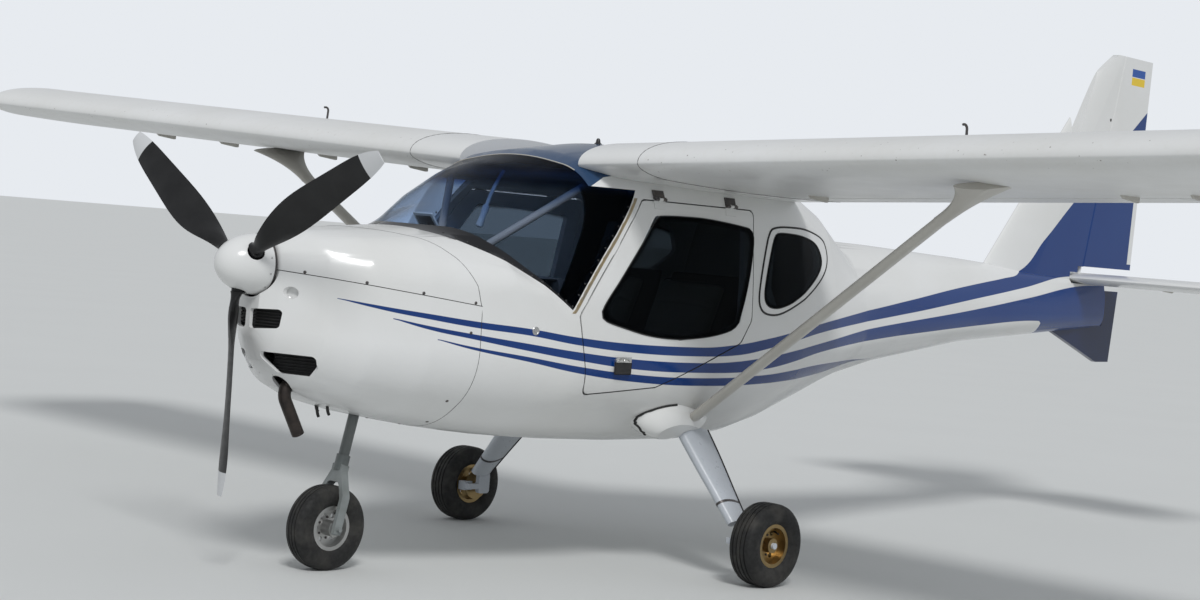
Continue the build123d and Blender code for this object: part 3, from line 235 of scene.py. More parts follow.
class Paint:
    # a short hand for one material's nodes

    def __init__(self, name, slot):
        self.finish = bpy.data.materials.new(name)
        self.finish.use_nodes = True
        self.tree = self.finish.node_tree
        self.shader = self.tree.nodes["Principled BSDF"]
        self.output = self.tree.nodes["Material Output"]
        self.where = self.add("ShaderNodeTexCoord").outputs["Object"]
        finishes[name], slotOf[name] = self.finish, slot
        self.split = None

    def add(self, kind):
        return self.tree.nodes.new(kind)

    def link(self, value, socket):
        if hasattr(value, "is_linked"):
            self.tree.links.new(value, socket)
        elif isinstance(value, (tuple, list)) and len(value) == 3 and len(socket.default_value) == 4:
            socket.default_value = (*value, 1)
        else:
            socket.default_value = value

    def set(self, **values):
        for word, value in values.items():
            self.shader.inputs[word.replace("_", " ")].default_value = value
        return self

    def axis(self, letter):
        if self.split is None:
            self.split = self.add("ShaderNodeSeparateXYZ")
            self.link(self.where, self.split.inputs[0])
        return self.split.outputs[letter]

    def count(self, job, a, b=0.0, clamp=False):
        step = self.add("ShaderNodeMath")
        step.operation = job
        step.use_clamp = clamp
        self.link(a, step.inputs[0])
        self.link(b, step.inputs[1])
        return step.outputs[0]

    def spread(self, value, low, high, newLow=0.0, newHigh=1.0):
        step = self.add("ShaderNodeMapRange")
        self.link(value, step.inputs[0])
        for number, limit in enumerate((low, high, newLow, newHigh), 1):
            self.link(limit, step.inputs[number])
        return step.outputs[0]

    def between(self, value, low, high, soft=0.001):
        # 1 from low to high, and 0 on both sides of them
        rising = self.spread(value, low, low + soft)
        return self.count("MULTIPLY", rising, self.spread(value, high, high + soft, 1, 0))

    def noise(self, scale, detail=3.0):
        step = self.add("ShaderNodeTexNoise")
        self.link(self.where, step.inputs["Vector"])
        step.inputs["Scale"].default_value = scale
        step.inputs["Detail"].default_value = detail
        return step.outputs["Fac"]

    def mix(self, share, a, b):
        step = self.add("ShaderNodeMix")
        step.data_type = "RGBA"
        self.link(share, step.inputs[0])
        self.link(a, step.inputs[6])
        self.link(b, step.inputs[7])
        return step.outputs[2]

    def colour(self, value):
        self.link(value, self.shader.inputs["Base Color"])
        return self

    def rough(self, value):
        self.link(value, self.shader.inputs["Roughness"])
        return self

    def bump(self, *layers):
        # each layer is (height, strength, distance in metres)
        normal = None
        for height, strength, distance in layers:
            step = self.add("ShaderNodeBump")
            step.inputs["Strength"].default_value = strength
            step.inputs["Distance"].default_value = distance
            self.link(height, step.inputs["Height"])
            if normal is not None:
                self.link(normal, step.inputs["Normal"])
            normal = step.outputs[0]
        self.link(normal, self.shader.inputs["Normal"])
        return self

    def edge(self, points, along, across, box):
        # how far the surface point lies below a drawn line: 1 below it and 0 above it
        lowA, highA, lowB, highB = box
        line = self.add("ShaderNodeFloatCurve")
        ramp = line.mapping.curves[0]
        spots = [((a - lowA) / (highA - lowA), (b - lowB) / (highB - lowB)) for a, b in points]
        ramp.points[0].location, ramp.points[1].location = spots[0], spots[-1]
        for spot in spots[1:-1]:
            ramp.points.new(*spot)
        for spot in ramp.points:
            spot.handle_type = "AUTO_CLAMPED"
        line.mapping.extend = "HORIZONTAL"
        line.mapping.update()
        self.link(self.spread(along, lowA, highA), line.inputs["Value"])
        gap = self.count("SUBTRACT", self.spread(line.outputs[0], 0, 1, lowB, highB), across)
        return self.spread(gap, -0.0007, 0.0007)


# numbers that a user would change for the paint
paintLook = dict(
    white=(0.77, 0.775, 0.77), whiteAged=(0.71, 0.71, 0.69), blue=(0.001, 0.032, 0.175),
    # navy and navyAged are the fin's blue paint darkened with painted shade, the shade under the tailplane
    blueAged=(0.002, 0.040, 0.190), navy=(0.003, 0.010, 0.045), navyAged=(0.009, 0.024, 0.09),
    broadScale=1.6, peelScale=420, gloss=(0.16, 0.27), coat=0.15, coatRoughness=0.07,
)


def lacquer(paint, ior):
    # a smooth clear film with faint ripples
    paint.rough(paint.spread(paint.noise(9, 6), 0.3, 0.75, *paintLook["gloss"]))
    paint.bump((paint.noise(3.2, 1), 0.25, 0.0012), (paint.noise(paintLook["peelScale"], 1), 0.05, 0.0002))
    paint.set(Coat_Weight=paintLook["coat"], Coat_Roughness=paintLook["coatRoughness"], IOR=ior)


def glossPaint(name, slot, colour, aged):
    paint = Paint(name, slot)
    broad = paint.noise(paintLook["broadScale"], 5)
    paint.colour(paint.mix(paint.spread(broad, 0.35, 0.75), colour, aged))
    lacquer(paint, 1.48)


glossPaint("white paint", "white_composite", paintLook["white"], paintLook["whiteAged"])
# the ventral fin's dark navy is blue paint plus a painted shade, the shade that falls under the tailplane
glossPaint("shaded fin blue", "blue_composite", paintLook["navy"], paintLook["navyAged"])

# the stripes' edges along the body, as (x, z) in metres
stripeEdges = dict(
    firstTop=((-2.859, 1.062), (-2.729, 1.045), (-2.543, 1.026), (-2.345, 1.007), (-2.111, 0.990),
              (-1.890, 0.966), (-1.556, 0.947), (-1.195, 0.943), (-0.938, 0.960), (-0.682, 0.994),
              (-0.275, 1.054), (0.299, 1.126), (0.707, 1.181), (1.124, 1.241), (1.514, 1.291),
              (1.731, 1.319), (1.900, 1.346), (2.171, 1.545), (2.397, 1.730), (3.200, 2.345)),
    firstBottom=((-2.859, 1.060), (-2.728, 1.032), (-2.542, 1.006), (-2.343, 0.983), (-2.109, 0.964),
                 (-1.887, 0.936), (-1.554, 0.912), (-1.193, 0.906), (-0.934, 0.916), (-0.68, 0.952),
                 (-0.271, 1.015), (0.301, 1.075), (0.701, 1.119), (1.098, 1.169), (1.910, 1.276),
                 (2.471, 1.356), (3.200, 1.358)),
    secondTop=((-2.677, 1.003), (-2.540, 0.981), (-2.365, 0.960), (-2.107, 0.932), (-1.885, 0.909),
               (-1.552, 0.886), (-1.191, 0.879), (-0.932, 0.889), (-0.265, 0.968), (0.304, 1.038),
               (0.703, 1.079), (1.356, 1.149), (1.912, 1.220), (2.654, 1.314), (3.200, 1.320)),
    secondBottom=((-2.677, 1.000), (-2.539, 0.967), (-2.364, 0.941), (-2.105, 0.904), (-1.882, 0.876),
                  (-1.547, 0.846), (-1.182, 0.838), (-0.923, 0.842), (-0.662, 0.866), (-0.252, 0.929),
                  (0.325, 0.983), (0.729, 1.016), (1.382, 1.066), (1.924, 1.103), (2.085, 1.105),
                  (2.12, 1.0), (2.2, 0.8), (3.200, 0.75)),
    thirdTop=((-2.506, 0.935), (-2.370, 0.913), (-2.102, 0.881), (-1.880, 0.853), (-1.541, 0.825),
              (-1.175, 0.816), (-0.742, 0.830), (-0.204, 0.872), (0.470, 0.885), (0.8, 0.86)),
    thirdBottom=((-2.506, 0.932), (-2.370, 0.903), (-2.099, 0.862), (-1.875, 0.826), (-1.530, 0.794),
                 (-1.159, 0.783), (-0.719, 0.793), (-0.122, 0.830), (0.505, 0.884), (0.8, 0.88)),
)
# the part of the side that the edges' curves are drawn in: x from and to, z from and to
stripeBox = (-2.9, 3.25, 0.6, 2.5)
trimLook = dict(edgeX=3.139, rake=0.054 / 1.198, foot=1.418, width=0.045, low=1.45, high=2.2)
patchLook = dict(front=2.958, rear=3.112, upper=(2.512, 2.556), lower=(2.464, 2.508),
                 upperColour=(0.01, 0.08, 0.36), lowerColour=(0.80, 0.56, 0.03))


def liveryPaint():
    # white, with three blue stripes that run into the tail
    paint = Paint("livery", "white_composite")
    x, z = paint.axis("X"), paint.axis("Z")
    below = {name: paint.edge(points, x, z, stripeBox) for name, points in stripeEdges.items()}
    blue = None
    for word in ("first", "second", "third"):
        band = paint.count("SUBTRACT", below[word + "Top"], below[word + "Bottom"], clamp=True)
        start, end = stripeEdges[word + "Top"][0][0], stripeEdges[word + "Top"][-1][0]
        band = paint.count("MULTIPLY", band, paint.spread(x, start, start + 0.001))
        if end < 1:
            band = paint.count("MULTIPLY", band, paint.spread(x, end - 0.3, end - 0.299, 1, 0))
        blue = band if blue is None else paint.count("MAXIMUM", blue, band)
    # the trim strip on the rudder's rear edge stays white
    trimStart = trimLook["edgeX"] - trimLook["width"]
    trimX = paint.spread(z, trimLook["foot"], trimLook["foot"] + 1, trimStart, trimStart + trimLook["rake"])
    onTrim = paint.spread(paint.count("SUBTRACT", x, trimX), 0, 0.0015)
    onTrim = paint.count("MULTIPLY", onTrim, paint.between(z, trimLook["low"], trimLook["high"], 0.002))
    blue = paint.count("MULTIPLY", blue, paint.count("SUBTRACT", 1.0, onTrim))
    broad = paint.spread(paint.noise(paintLook["broadScale"], 5), 0.35, 0.75)
    white = paint.mix(broad, paintLook["white"], paintLook["whiteAged"])
    colour = paint.mix(blue, white, paint.mix(broad, paintLook["blue"], paintLook["blueAged"]))
    # a small patch of two bands near the tip of the fin
    across = paint.between(x, patchLook["front"], patchLook["rear"])
    for part in ("upper", "lower"):
        spot = paint.count("MULTIPLY", across, paint.between(z, *patchLook[part]))
        colour = paint.mix(spot, colour, patchLook[part + "Colour"])
    paint.colour(colour)
    lacquer(paint, 1.42)


liveryPaint()


wingLook = dict(front=(-1.72, -1.60), speckScale=42, speck=(0.10, 0.075, 0.05), smear=(0.45, 0.40, 0.30),
                gloss=(0.28, 0.44), coat=0.12, coatRoughness=0.2)


def wingPaint():
    # white with dark specks along the leading edge
    look = wingLook
    paint = Paint("wing paint", "white_composite")
    broad = paint.spread(paint.noise(paintLook["broadScale"], 5), 0.35, 0.75)
    white = paint.mix(broad, paintLook["white"], paintLook["whiteAged"])
    front = paint.spread(paint.axis("X"), *look["front"], 1, 0)
    speck = paint.add("ShaderNodeTexVoronoi")
    paint.link(paint.where, speck.inputs["Vector"])
    speck.inputs["Scale"].default_value = look["speckScale"]
    dot = paint.spread(speck.outputs["Distance"], 0.05, 0.16, 1, 0)
    rare = paint.spread(paint.noise(23, 2), 0.54, 0.62)
    spots = paint.count("MULTIPLY", paint.count("MULTIPLY", dot, rare), front)
    smear = paint.count("MULTIPLY", paint.spread(paint.noise(34, 8), 0.5, 0.8), front)
    smeared = paint.mix(paint.count("MULTIPLY", smear, 0.08), white, look["smear"])
    paint.colour(paint.mix(spots, smeared, look["speck"]))
    paint.rough(paint.spread(paint.noise(9, 6), 0.3, 0.75, *look["gloss"]))
    paint.bump((paint.noise(3.2, 1), 0.2, 0.0012), (spots, 0.3, 0.0006))
    paint.set(Coat_Weight=look["coat"], Coat_Roughness=look["coatRoughness"], IOR=1.48)


wingPaint()


def plainFinish(name, slot, colour, aged, scale, gloss, grain, height, metal=0.0):
    # broad colour change, roughness change and a fine grain
    paint = Paint(name, slot)
    paint.colour(paint.mix(paint.spread(paint.noise(scale, 5), 0.3, 0.75), colour, aged))
    paint.rough(paint.spread(paint.noise(scale * 6, 6), 0.3, 0.75, *gloss))
    paint.bump((paint.noise(grain, 3), 0.4, height))
    paint.set(Metallic=metal)


# slot, colour, worn colour, scale of the wear, roughness, scale and depth of the grain, and metal
plainLook = {
    "bare alloy": ("alloy", (0.62, 0.62, 0.61), (0.50, 0.50, 0.50), 12, (0.28, 0.42), 700, 0.0001, 1.0),
    "polished lip": ("alloy", (0.72, 0.71, 0.69), (0.6, 0.6, 0.58), 30, (0.14, 0.26), 500, 0.0001, 1.0),
    "gold rim": ("alloy", (0.42, 0.30, 0.14), (0.34, 0.25, 0.13), 18, (0.30, 0.45), 600, 0.0001, 1.0),
    "silver rim": ("alloy", (0.50, 0.50, 0.49), (0.40, 0.40, 0.39), 18, (0.34, 0.48), 600, 0.0001, 0.9),
    "dark steel": ("engine_metal", (0.09, 0.09, 0.095), (0.15, 0.13, 0.12),
                   15, (0.35, 0.55), 500, 0.0002, 0.9),
    "engine casting": ("engine_metal", (0.20, 0.20, 0.20), (0.10, 0.10, 0.10),
                       14, (0.4, 0.6), 260, 0.0004, 0.7),
    "burnt steel": ("exhaust_steel", (0.075, 0.062, 0.055), (0.035, 0.032, 0.032),
                    22, (0.35, 0.6), 300, 0.0002, 0.9),
    "firewall sheet": ("firewall_sheet", (0.48, 0.48, 0.46), (0.38, 0.37, 0.35),
                       9, (0.35, 0.5), 120, 0.0004, 0.8),
    "grey enamel": ("grey_paint", (0.40, 0.39, 0.36), (0.33, 0.32, 0.29), 5, (0.3, 0.45), 380, 0.0002),
    "beige enamel": ("grey_paint", (0.56, 0.47, 0.40), (0.50, 0.42, 0.36), 6, (0.3, 0.42), 380, 0.0002),
    "strut paint": ("grey_paint", (0.53, 0.515, 0.47), (0.47, 0.45, 0.41), 3, (0.28, 0.42), 380, 0.0002),
    "dark enamel": ("grey_paint", (0.10, 0.115, 0.115), (0.15, 0.16, 0.155), 12, (0.3, 0.48), 380, 0.0003),
    "fork enamel": ("grey_paint", (0.24, 0.26, 0.26), (0.17, 0.185, 0.18), 14, (0.3, 0.45), 380, 0.0003),
    "leg gelcoat": ("leg_composite", (0.53, 0.56, 0.60), (0.47, 0.50, 0.54), 6, (0.26, 0.4), 300, 0.0003),
    "panel moulding": ("panel_plastic", (0.030, 0.031, 0.034), (0.045, 0.045, 0.047),
                       7, (0.5, 0.68), 650, 0.0004),
    "black moulding": ("black_composite", (0.014, 0.014, 0.015), (0.024, 0.024, 0.025),
                       10, (0.34, 0.5), 500, 0.0002),
    "black rubber": ("black_composite", (0.012, 0.012, 0.012), (0.03, 0.029, 0.028),
                     12, (0.6, 0.8), 420, 0.0003),
    "floor carpet": ("panel_plastic", (0.055, 0.058, 0.065), (0.035, 0.037, 0.042),
                     30, (0.85, 0.95), 900, 0.0016),
    "dial white": ("panel_plastic", (0.8, 0.8, 0.78), (0.7, 0.7, 0.68), 40, (0.4, 0.5), 300, 0.0001),
    "brass strip": ("alloy", (0.55, 0.42, 0.24), (0.40, 0.36, 0.30), 26, (0.28, 0.45), 60, 0.0006, 0.9),
    "radiator core": ("engine_metal", (0.03, 0.03, 0.03), (0.05, 0.05, 0.05),
                      30, (0.5, 0.7), 300, 0.0004, 0.4),
}
for name, look in plainLook.items():
    plainFinish(name, *look)


def rubberFinish():
    # dusty tyre rubber
    paint = Paint("tyre rubber", "tyre_rubber")
    dust = paint.spread(paint.noise(14, 7), 0.42, 0.72)
    paint.colour(paint.mix(dust, (0.009, 0.009, 0.009), (0.038, 0.036, 0.032)))
    paint.rough(paint.spread(paint.noise(60, 5), 0.3, 0.7, 0.62, 0.86))
    paint.bump((paint.noise(260, 4), 0.4, 0.0006))


rubberFinish()


def bladeFinish():
    # black blades with pale tips
    look = dict(centreZ=1.159, tip=0.772, black=(0.006, 0.006, 0.0065), dull=(0.014, 0.014, 0.0145),
                pale=(0.62, 0.63, 0.64))
    paint = Paint("blade finish", "black_composite")
    up = paint.count("SUBTRACT", paint.axis("Z"), look["centreZ"])
    square = paint.count("ADD", paint.count("MULTIPLY", up, up),
                         paint.count("MULTIPLY", paint.axis("Y"), paint.axis("Y")))
    radius = paint.count("SQRT", square)
    tip = paint.spread(radius, look["tip"], look["tip"] + 0.001)
    worn = paint.spread(paint.noise(11, 7), 0.35, 0.8)
    paint.colour(paint.mix(tip, paint.mix(worn, look["black"], look["dull"]), look["pale"]))
    weave = paint.add("ShaderNodeTexChecker")
    paint.link(paint.where, weave.inputs["Vector"])
    weave.inputs["Scale"].default_value = 420
    paint.rough(paint.spread(paint.noise(40, 5), 0.3, 0.75, 0.30, 0.46))
    paint.bump((weave.outputs["Fac"], 0.12, 0.0003), (paint.noise(5, 2), 0.2, 0.0008))
    paint.set(Specular_IOR_Level=0.35)


bladeFinish()


def seatCloth():
    # woven beige cloth with a fine check
    paint = Paint("seat cloth", "seat_fabric")
    wide = paint.add("ShaderNodeTexWave")
    wide.wave_type, wide.bands_direction = "BANDS", "Y"
    tall = paint.add("ShaderNodeTexWave")
    tall.wave_type, tall.bands_direction = "BANDS", "Z"
    for wave in (wide, tall):
        paint.link(paint.where, wave.inputs["Vector"])
        wave.inputs["Scale"].default_value = 190
        wave.inputs["Distortion"].default_value = 1.2
    weave = paint.count("MULTIPLY", wide.outputs["Fac"], tall.outputs["Fac"])
    shade = paint.mix(paint.spread(paint.noise(6, 6), 0.3, 0.8), (0.50, 0.45, 0.37), (0.40, 0.355, 0.285))
    paint.colour(paint.mix(paint.count("MULTIPLY", weave, 0.35), shade, (0.26, 0.23, 0.18)))
    paint.rough(paint.spread(paint.noise(120, 3), 0.3, 0.7, 0.78, 0.94))
    paint.bump((weave, 0.5, 0.0008), (paint.noise(45, 4), 0.3, 0.0012))
    paint.set(Sheen_Weight=0.3)


seatCloth()


def strapCloth():
    paint = Paint("strap webbing", "seat_fabric")
    wave = paint.add("ShaderNodeTexWave")
    wave.wave_type, wave.bands_direction = "BANDS", "DIAGONAL"
    paint.link(paint.where, wave.inputs["Vector"])
    wave.inputs["Scale"].default_value = 260
    paint.colour(paint.mix(wave.outputs["Fac"], (0.035, 0.04, 0.055), (0.02, 0.022, 0.03)))
    paint.rough(paint.spread(paint.noise(90, 3), 0.3, 0.7, 0.65, 0.85))
    paint.bump((wave.outputs["Fac"], 0.5, 0.0006))


strapCloth()

# glazing: what one face lets through, how much it mirrors, and its own colour
glazingLook = dict(
    clear=dict(slot="clear_glazing", through=(0.80, 0.87, 0.96), shine=0.04, body=(0.016, 0.020, 0.024)),
    smoked=dict(slot="tinted_glazing", through=(0.36, 0.39, 0.41), shine=0.05, body=(0.016, 0.020, 0.024)),
    roof=dict(slot="roof_tint", through=(0.30, 0.38, 0.50), shine=0.70, body=(0.030, 0.070, 0.150)),
)
screenLook = dict(
    bandEdge=((-2.40, 1.365), (-2.375, 1.356), (-2.284, 1.353), (-2.179, 1.285), (-2.088, 1.210),
              (-1.998, 1.140), (-1.90, 1.065)),
    bandBox=(-2.42, -1.8, 0.9, 1.5),
    sideEdge=((1.06, -2.03), (1.145, -1.967), (1.300, -1.886), (1.439, -1.828), (1.55, -1.80),
              (1.68, -1.79)),
    sideBox=(1.0, 1.7, -2.2, -1.5),
    tintHeights=(1.525, 1.56), navyThrough=(0.24, 0.36, 0.55), black=(0.007, 0.007, 0.009),
    # portShadeY and pillarShadeThrough set a painted shade: how it fades from port to starboard, and the dark
    # colour the glass lets through
    portShadeY=(-0.4, 0.4), pillarShadeThrough=(0.10, 0.13, 0.17),
)


def glazing(name, kind):
    look = glazingLook[kind]
    paint = Paint(name, look["slot"])
    paint.set(Roughness=0.06, IOR=1.49)
    body = look["body"]
    paint.colour(paint.mix(paint.noise(2, 2), body, tuple(v * 1.5 for v in body)))
    dust = paint.spread(paint.noise(3.5, 6), 0.3, 0.9, 0.02, 0.07)
    paint.rough(paint.spread(paint.noise(7, 5), 0.3, 0.8, 0.03, 0.09))
    paint.bump((paint.noise(2.4, 1), 0.15, 0.002))
    through = paint.add("ShaderNodeBsdfTransparent")
    tint = paint.mix(dust, look["through"], tuple(v * 0.82 for v in look["through"]))
    rimShade = paint.add("ShaderNodeAttribute")
    rimShade.attribute_name = "rimShade"
    tint = paint.mix(rimShade.outputs["Fac"], tint, (0.02, 0.02, 0.022))
    rim = paint.add("ShaderNodeLayerWeight")
    rim.inputs["Blend"].default_value = 0.5
    share = paint.spread(paint.count("POWER", rim.outputs["Facing"], 5.0), 0.0, 1.0, look["shine"], 0.9)
    if kind == "clear":
        x, z = paint.axis("X"), paint.axis("Z")
        band = paint.edge(screenLook["bandEdge"], x, z, screenLook["bandBox"])
        # past the side edge the glass lets less through: a painted shade for the dark cabin behind it,
        # strongest on the port side
        behind = paint.count("SUBTRACT", 1.0, paint.edge(screenLook["sideEdge"], z, x, screenLook["sideBox"]))
        port = paint.spread(paint.axis("Y"), *screenLook["portShadeY"], 1.0, 0.35)
        tint = paint.mix(paint.count("MULTIPLY", behind, port), tint, screenLook["pillarShadeThrough"])
        tint = paint.mix(paint.spread(z, *screenLook["tintHeights"]), tint, screenLook["navyThrough"])
        share = paint.count("MAXIMUM", share, band)
        paint.colour(paint.mix(band, body, screenLook["black"]))
    paint.link(tint, through.inputs["Color"])
    blend = paint.add("ShaderNodeMixShader")
    paint.link(share, blend.inputs[0])
    paint.link(through.outputs[0], blend.inputs[1])
    paint.link(paint.shader.outputs[0], blend.inputs[2])
    paint.link(blend.outputs[0], paint.output.inputs["Surface"])


glazing("clear screen", "clear")
glazing("smoked window", "smoked")
glazing("tinted roof", "roof")

nodeFinish = dict(
    cabin_floor="floor carpet", cabin_frame="beige enamel", cabin_shell="livery", door_hinges="dark steel",
    elevator="white paint", engine_block="engine casting", exhaust_pipe="burnt steel", fin="livery",
    firewall="firewall sheet", instrument_panel="panel moulding", lower_cowl="livery", upper_cowl="livery",
    nose_fork="fork enamel", nose_leg="dark enamel", nose_leg_mount="dark steel", nose_rim="silver rim",
    nose_tyre="tyre rubber", propeller_blades="blade finish", propeller_hub="dark steel",
    rear_bulkhead="grey enamel", roof_panel="tinted roof", rudder="livery", spinner="white paint",
    tail_boom="livery", tailplane="white paint", tank_vents="dark steel", ventral_fin="shaded fin blue",
    windscreen="clear screen",
)
sideFinish = dict(
    aileron="wing paint", flap="wing paint", wing="wing paint", wing_root="white paint",
    door_latch="bare alloy", door_panel="livery", door_window="smoked window",
    rear_window="smoked window", gear_fairing="livery",
    lift_strut="strut paint", main_gear_leg="leg gelcoat", main_rim="gold rim", main_tyre="tyre rubber",
    seat="seat cloth",
)
for side in sides:
    nodeFinish.update({side + "_" + word: finish for word, finish in sideFinish.items()})
for name, node in nodes.items():
    node.data.materials.clear()
    node.data.materials.append(finishes[nodeFinish[name]])
    # the loose triangles are welded and shaded smooth in the picture only
    if "custom_normal" in node.data.attributes:
        node.data.attributes.remove(node.data.attributes["custom_normal"])
    for face in node.data.polygons:
        face.use_smooth = True
    weld = node.modifiers.new("weld", "WELD")
    weld.merge_threshold = 0.0001
    split = node.modifiers.new("sharp edges", "EDGE_SPLIT")
    split.split_angle = math.radians(32)
print("finishes made:", len(finishes))

# pieces

# wheels: three grooved tyres with valves and bolts
wheelLook = dict(
    left_main=dict(side=-1, centre=(-1.051, -0.914, 0.171), body="left_main_wheel"),
    right_main=dict(side=1, centre=(-1.051, 0.914, 0.171), body="right_main_wheel"),
    nose=dict(side=-1, centre=(-2.598, 0, 0.164), body="nose_wheel"),
)
tyreLook = dict(
    main=dict(outer=0.1712, half=0.0628, seat=0.0806, flange=0.0905, flangeHalf=0.046,
              grooves=(-0.030, -0.010, 0.010, 0.030), grooveHalf=0.0022, grooveDepth=0.0045),
    nose=dict(outer=0.1642, half=0.0515, seat=0.0786, flange=0.0885, flangeHalf=0.040,
              grooves=(-0.018, 0.0, 0.018), grooveHalf=0.0022, grooveDepth=0.0045),
)
boltLook = dict(count=6, circle=0.040, head=0.0052, height=0.0045)


# the sidewall, as shares of its height and of the tyre's half width
tyreWall = ((0.12, 0.90), (0.30, 0.985), (0.48, 1), (0.66, 0.975), (0.80, 0.91), (0.90, 0.82), (0.955, 0.72))
valveLook = dict(circle=0.068, turn=0.9, lean=0.35, outline=(
    (0, 0), (0.0042, 0), (0.0042, 0.012), (0.0031, 0.014), (0.0031, 0.024), (0.0036, 0.025), (0.0036, 0.031),
    (0.0028, 0.032), (0, 0.032)))


def tyreOutline(look):
    outer, half, flange = look["outer"], look["half"], look["flange"]
    wall = outer - flange
    sideways = [(flange + 0.002, look["flangeHalf"] + 0.002)]
    sideways += [(flange + wall * rise, half * wide) for rise, wide in tyreWall]
    low = [(radius, -height) for radius, height in sideways]
    high = [(radius, height) for radius, height in reversed(sideways)]
    tread = []
    for groove in look["grooves"]:
        crown = outer - 0.055 * groove * groove / half
        wide, deep = look["grooveHalf"], look["grooveDepth"]
        tread += [(crown, groove - wide - 0.0006), (crown - deep, groove - wide),
                  (crown - deep, groove + wide), (crown, groove + wide + 0.0006)]
    bead = [(flange, look["flangeHalf"]), (look["seat"], look["flangeHalf"] - 0.009)]
    bead += [(radius, -height) for radius, height in reversed(bead)]
    return low + tread + high + bead


def boltHead(head, height):
    deselectAll()
    middle = (0, 0, height / 2)
    bpy.ops.mesh.primitive_cylinder_add(vertices=6, radius=head, depth=height, location=middle)
    bolt = bpy.context.object
    settle(bolt)
    openMesh(bolt)
    bpy.ops.mesh.bevel(offset=head * 0.14, segments=1, affect="EDGES")
    closeMesh()
    return bolt


def buildWheel(name, look):
    size = tyreLook["nose" if name == "nose" else "main"]
    side = look["side"]
    centre = Vector(look["centre"])
    hub = turnTo(centre, (0, side, 0), xAxis)
    tyre = lathe(tyreOutline(size), hub, steps=72)
    finishPiece(tyre, name + "_grooved_tyre", look["body"], "tyre rubber", 30)
    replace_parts(tyre, name + "_tyre")
    rim = treeOf(name + "_rim")
    places = []
    for turn in range(boltLook["count"]):
        angle = math.tau * (turn + 0.5) / boltLook["count"]
        spot = centre + boltLook["circle"] * Vector((math.cos(angle), 0, math.sin(angle)))
        hit, _ = onSide(rim, spot.x, spot.z, side)
        if hit:
            places.append(turnTo(hit - Vector((0, side * 0.0005, 0)), (0, side, 0)))
    bolts = copiesAt(boltHead(boltLook["head"], boltLook["height"]), places)
    finishPiece(bolts, name + "_rim_bolts", look["body"], "dark steel")
    # the valve comes out through the rim near its flange
    turn, lean = valveLook["turn"], valveLook["lean"]
    way = Vector((math.cos(turn), 0, math.sin(turn)))
    spot = centre + valveLook["circle"] * way
    hit, _ = onSide(rim, spot.x, spot.z, side)
    stem = lathe(valveLook["outline"], turnTo(hit, Vector((0, side, 0)) - way * lean), 12)
    finishPiece(stem, name + "_valve", look["body"], "black rubber")


for name, look in wheelLook.items():
    buildWheel(name, look)
print("wheels made")

# seats: a moulded base with a crowned pan and back cushion
seatLook = dict(
    shell=((-1.468, 0.5925), (-0.900, 0.5925), (-0.757, 1.238), (-0.790, 1.236), (-0.995, 0.705),
           (-1.045, 0.682), (-1.465, 0.722)),
    innerY=0.040, outerY=0.440, footY=0.292, shoulderZ=0.765,
    pan=dict(centre=(-1.268, 0.240, 0.746), size=(0.418, 0.372, 0.066), tilt=7.5),
    back=dict(centre=(-0.951, 0.240, 0.985), size=(0.474, 0.372, 0.064), tilt=-67.6),
    corner=0.022, voxel=0.008, pressure=4.0, frames=20, reach=0.016,
    channels=3, channelDepth=0.006, channelWidth=0.007, pipingGap=0.002, pipingRadius=0.0035,
    piping=((-1, -0.85), (-0.93, -0.97), (-0.85, -1), (0.85, -1), (0.93, -0.97), (1, -0.85), (1, 0.85),
            (0.93, 0.97), (0.85, 1), (-0.85, 1), (-0.93, 0.97), (-1, 0.85)),
)


def prism(outline, low, high, corner=0.004, steps=2):
    # an outline of (x, z) drawn out along y
    deselectAll()
    bpy.ops.mesh.primitive_circle_add(vertices=len(outline), radius=1, fill_type="NGON")
    piece = bpy.context.object
    for vertex, (x, z) in zip(piece.data.vertices, outline):
        vertex.co = (x, low, z)
    openMesh(piece)
    bpy.ops.mesh.extrude_region_move(TRANSFORM_OT_translate={"value": (0, high - low, 0)})
    bpy.ops.mesh.select_all(action="SELECT")
    bpy.ops.mesh.normals_make_consistent(inside=False)
    if corner:
        bpy.ops.mesh.bevel(offset=corner, segments=steps, affect="EDGES")
    closeMesh()
    return piece


def buildSeatShell(name, side):
    look = seatLook
    low, high = sorted((side * look["innerY"], side * look["outerY"]))
    shell = prism(look["shell"], low, high, 0.012, 3)
    openMesh(shell)
    foot = Vector((0, side * look["footY"], look["shell"][0][1]))
    shoulder = Vector((0, side * look["outerY"], look["shoulderZ"]))
    across = (shoulder - foot).normalized()
    outwards = Vector((0, side * across.z, -abs(across.y)))
    bpy.ops.mesh.bisect(plane_co=foot, plane_no=outwards, use_fill=True, clear_outer=True)
    closeMesh()
    tidyMesh(shell)
    finishPiece(shell, name + "_seat_shell", "fuselage", "panel moulding", 32)
    return shell


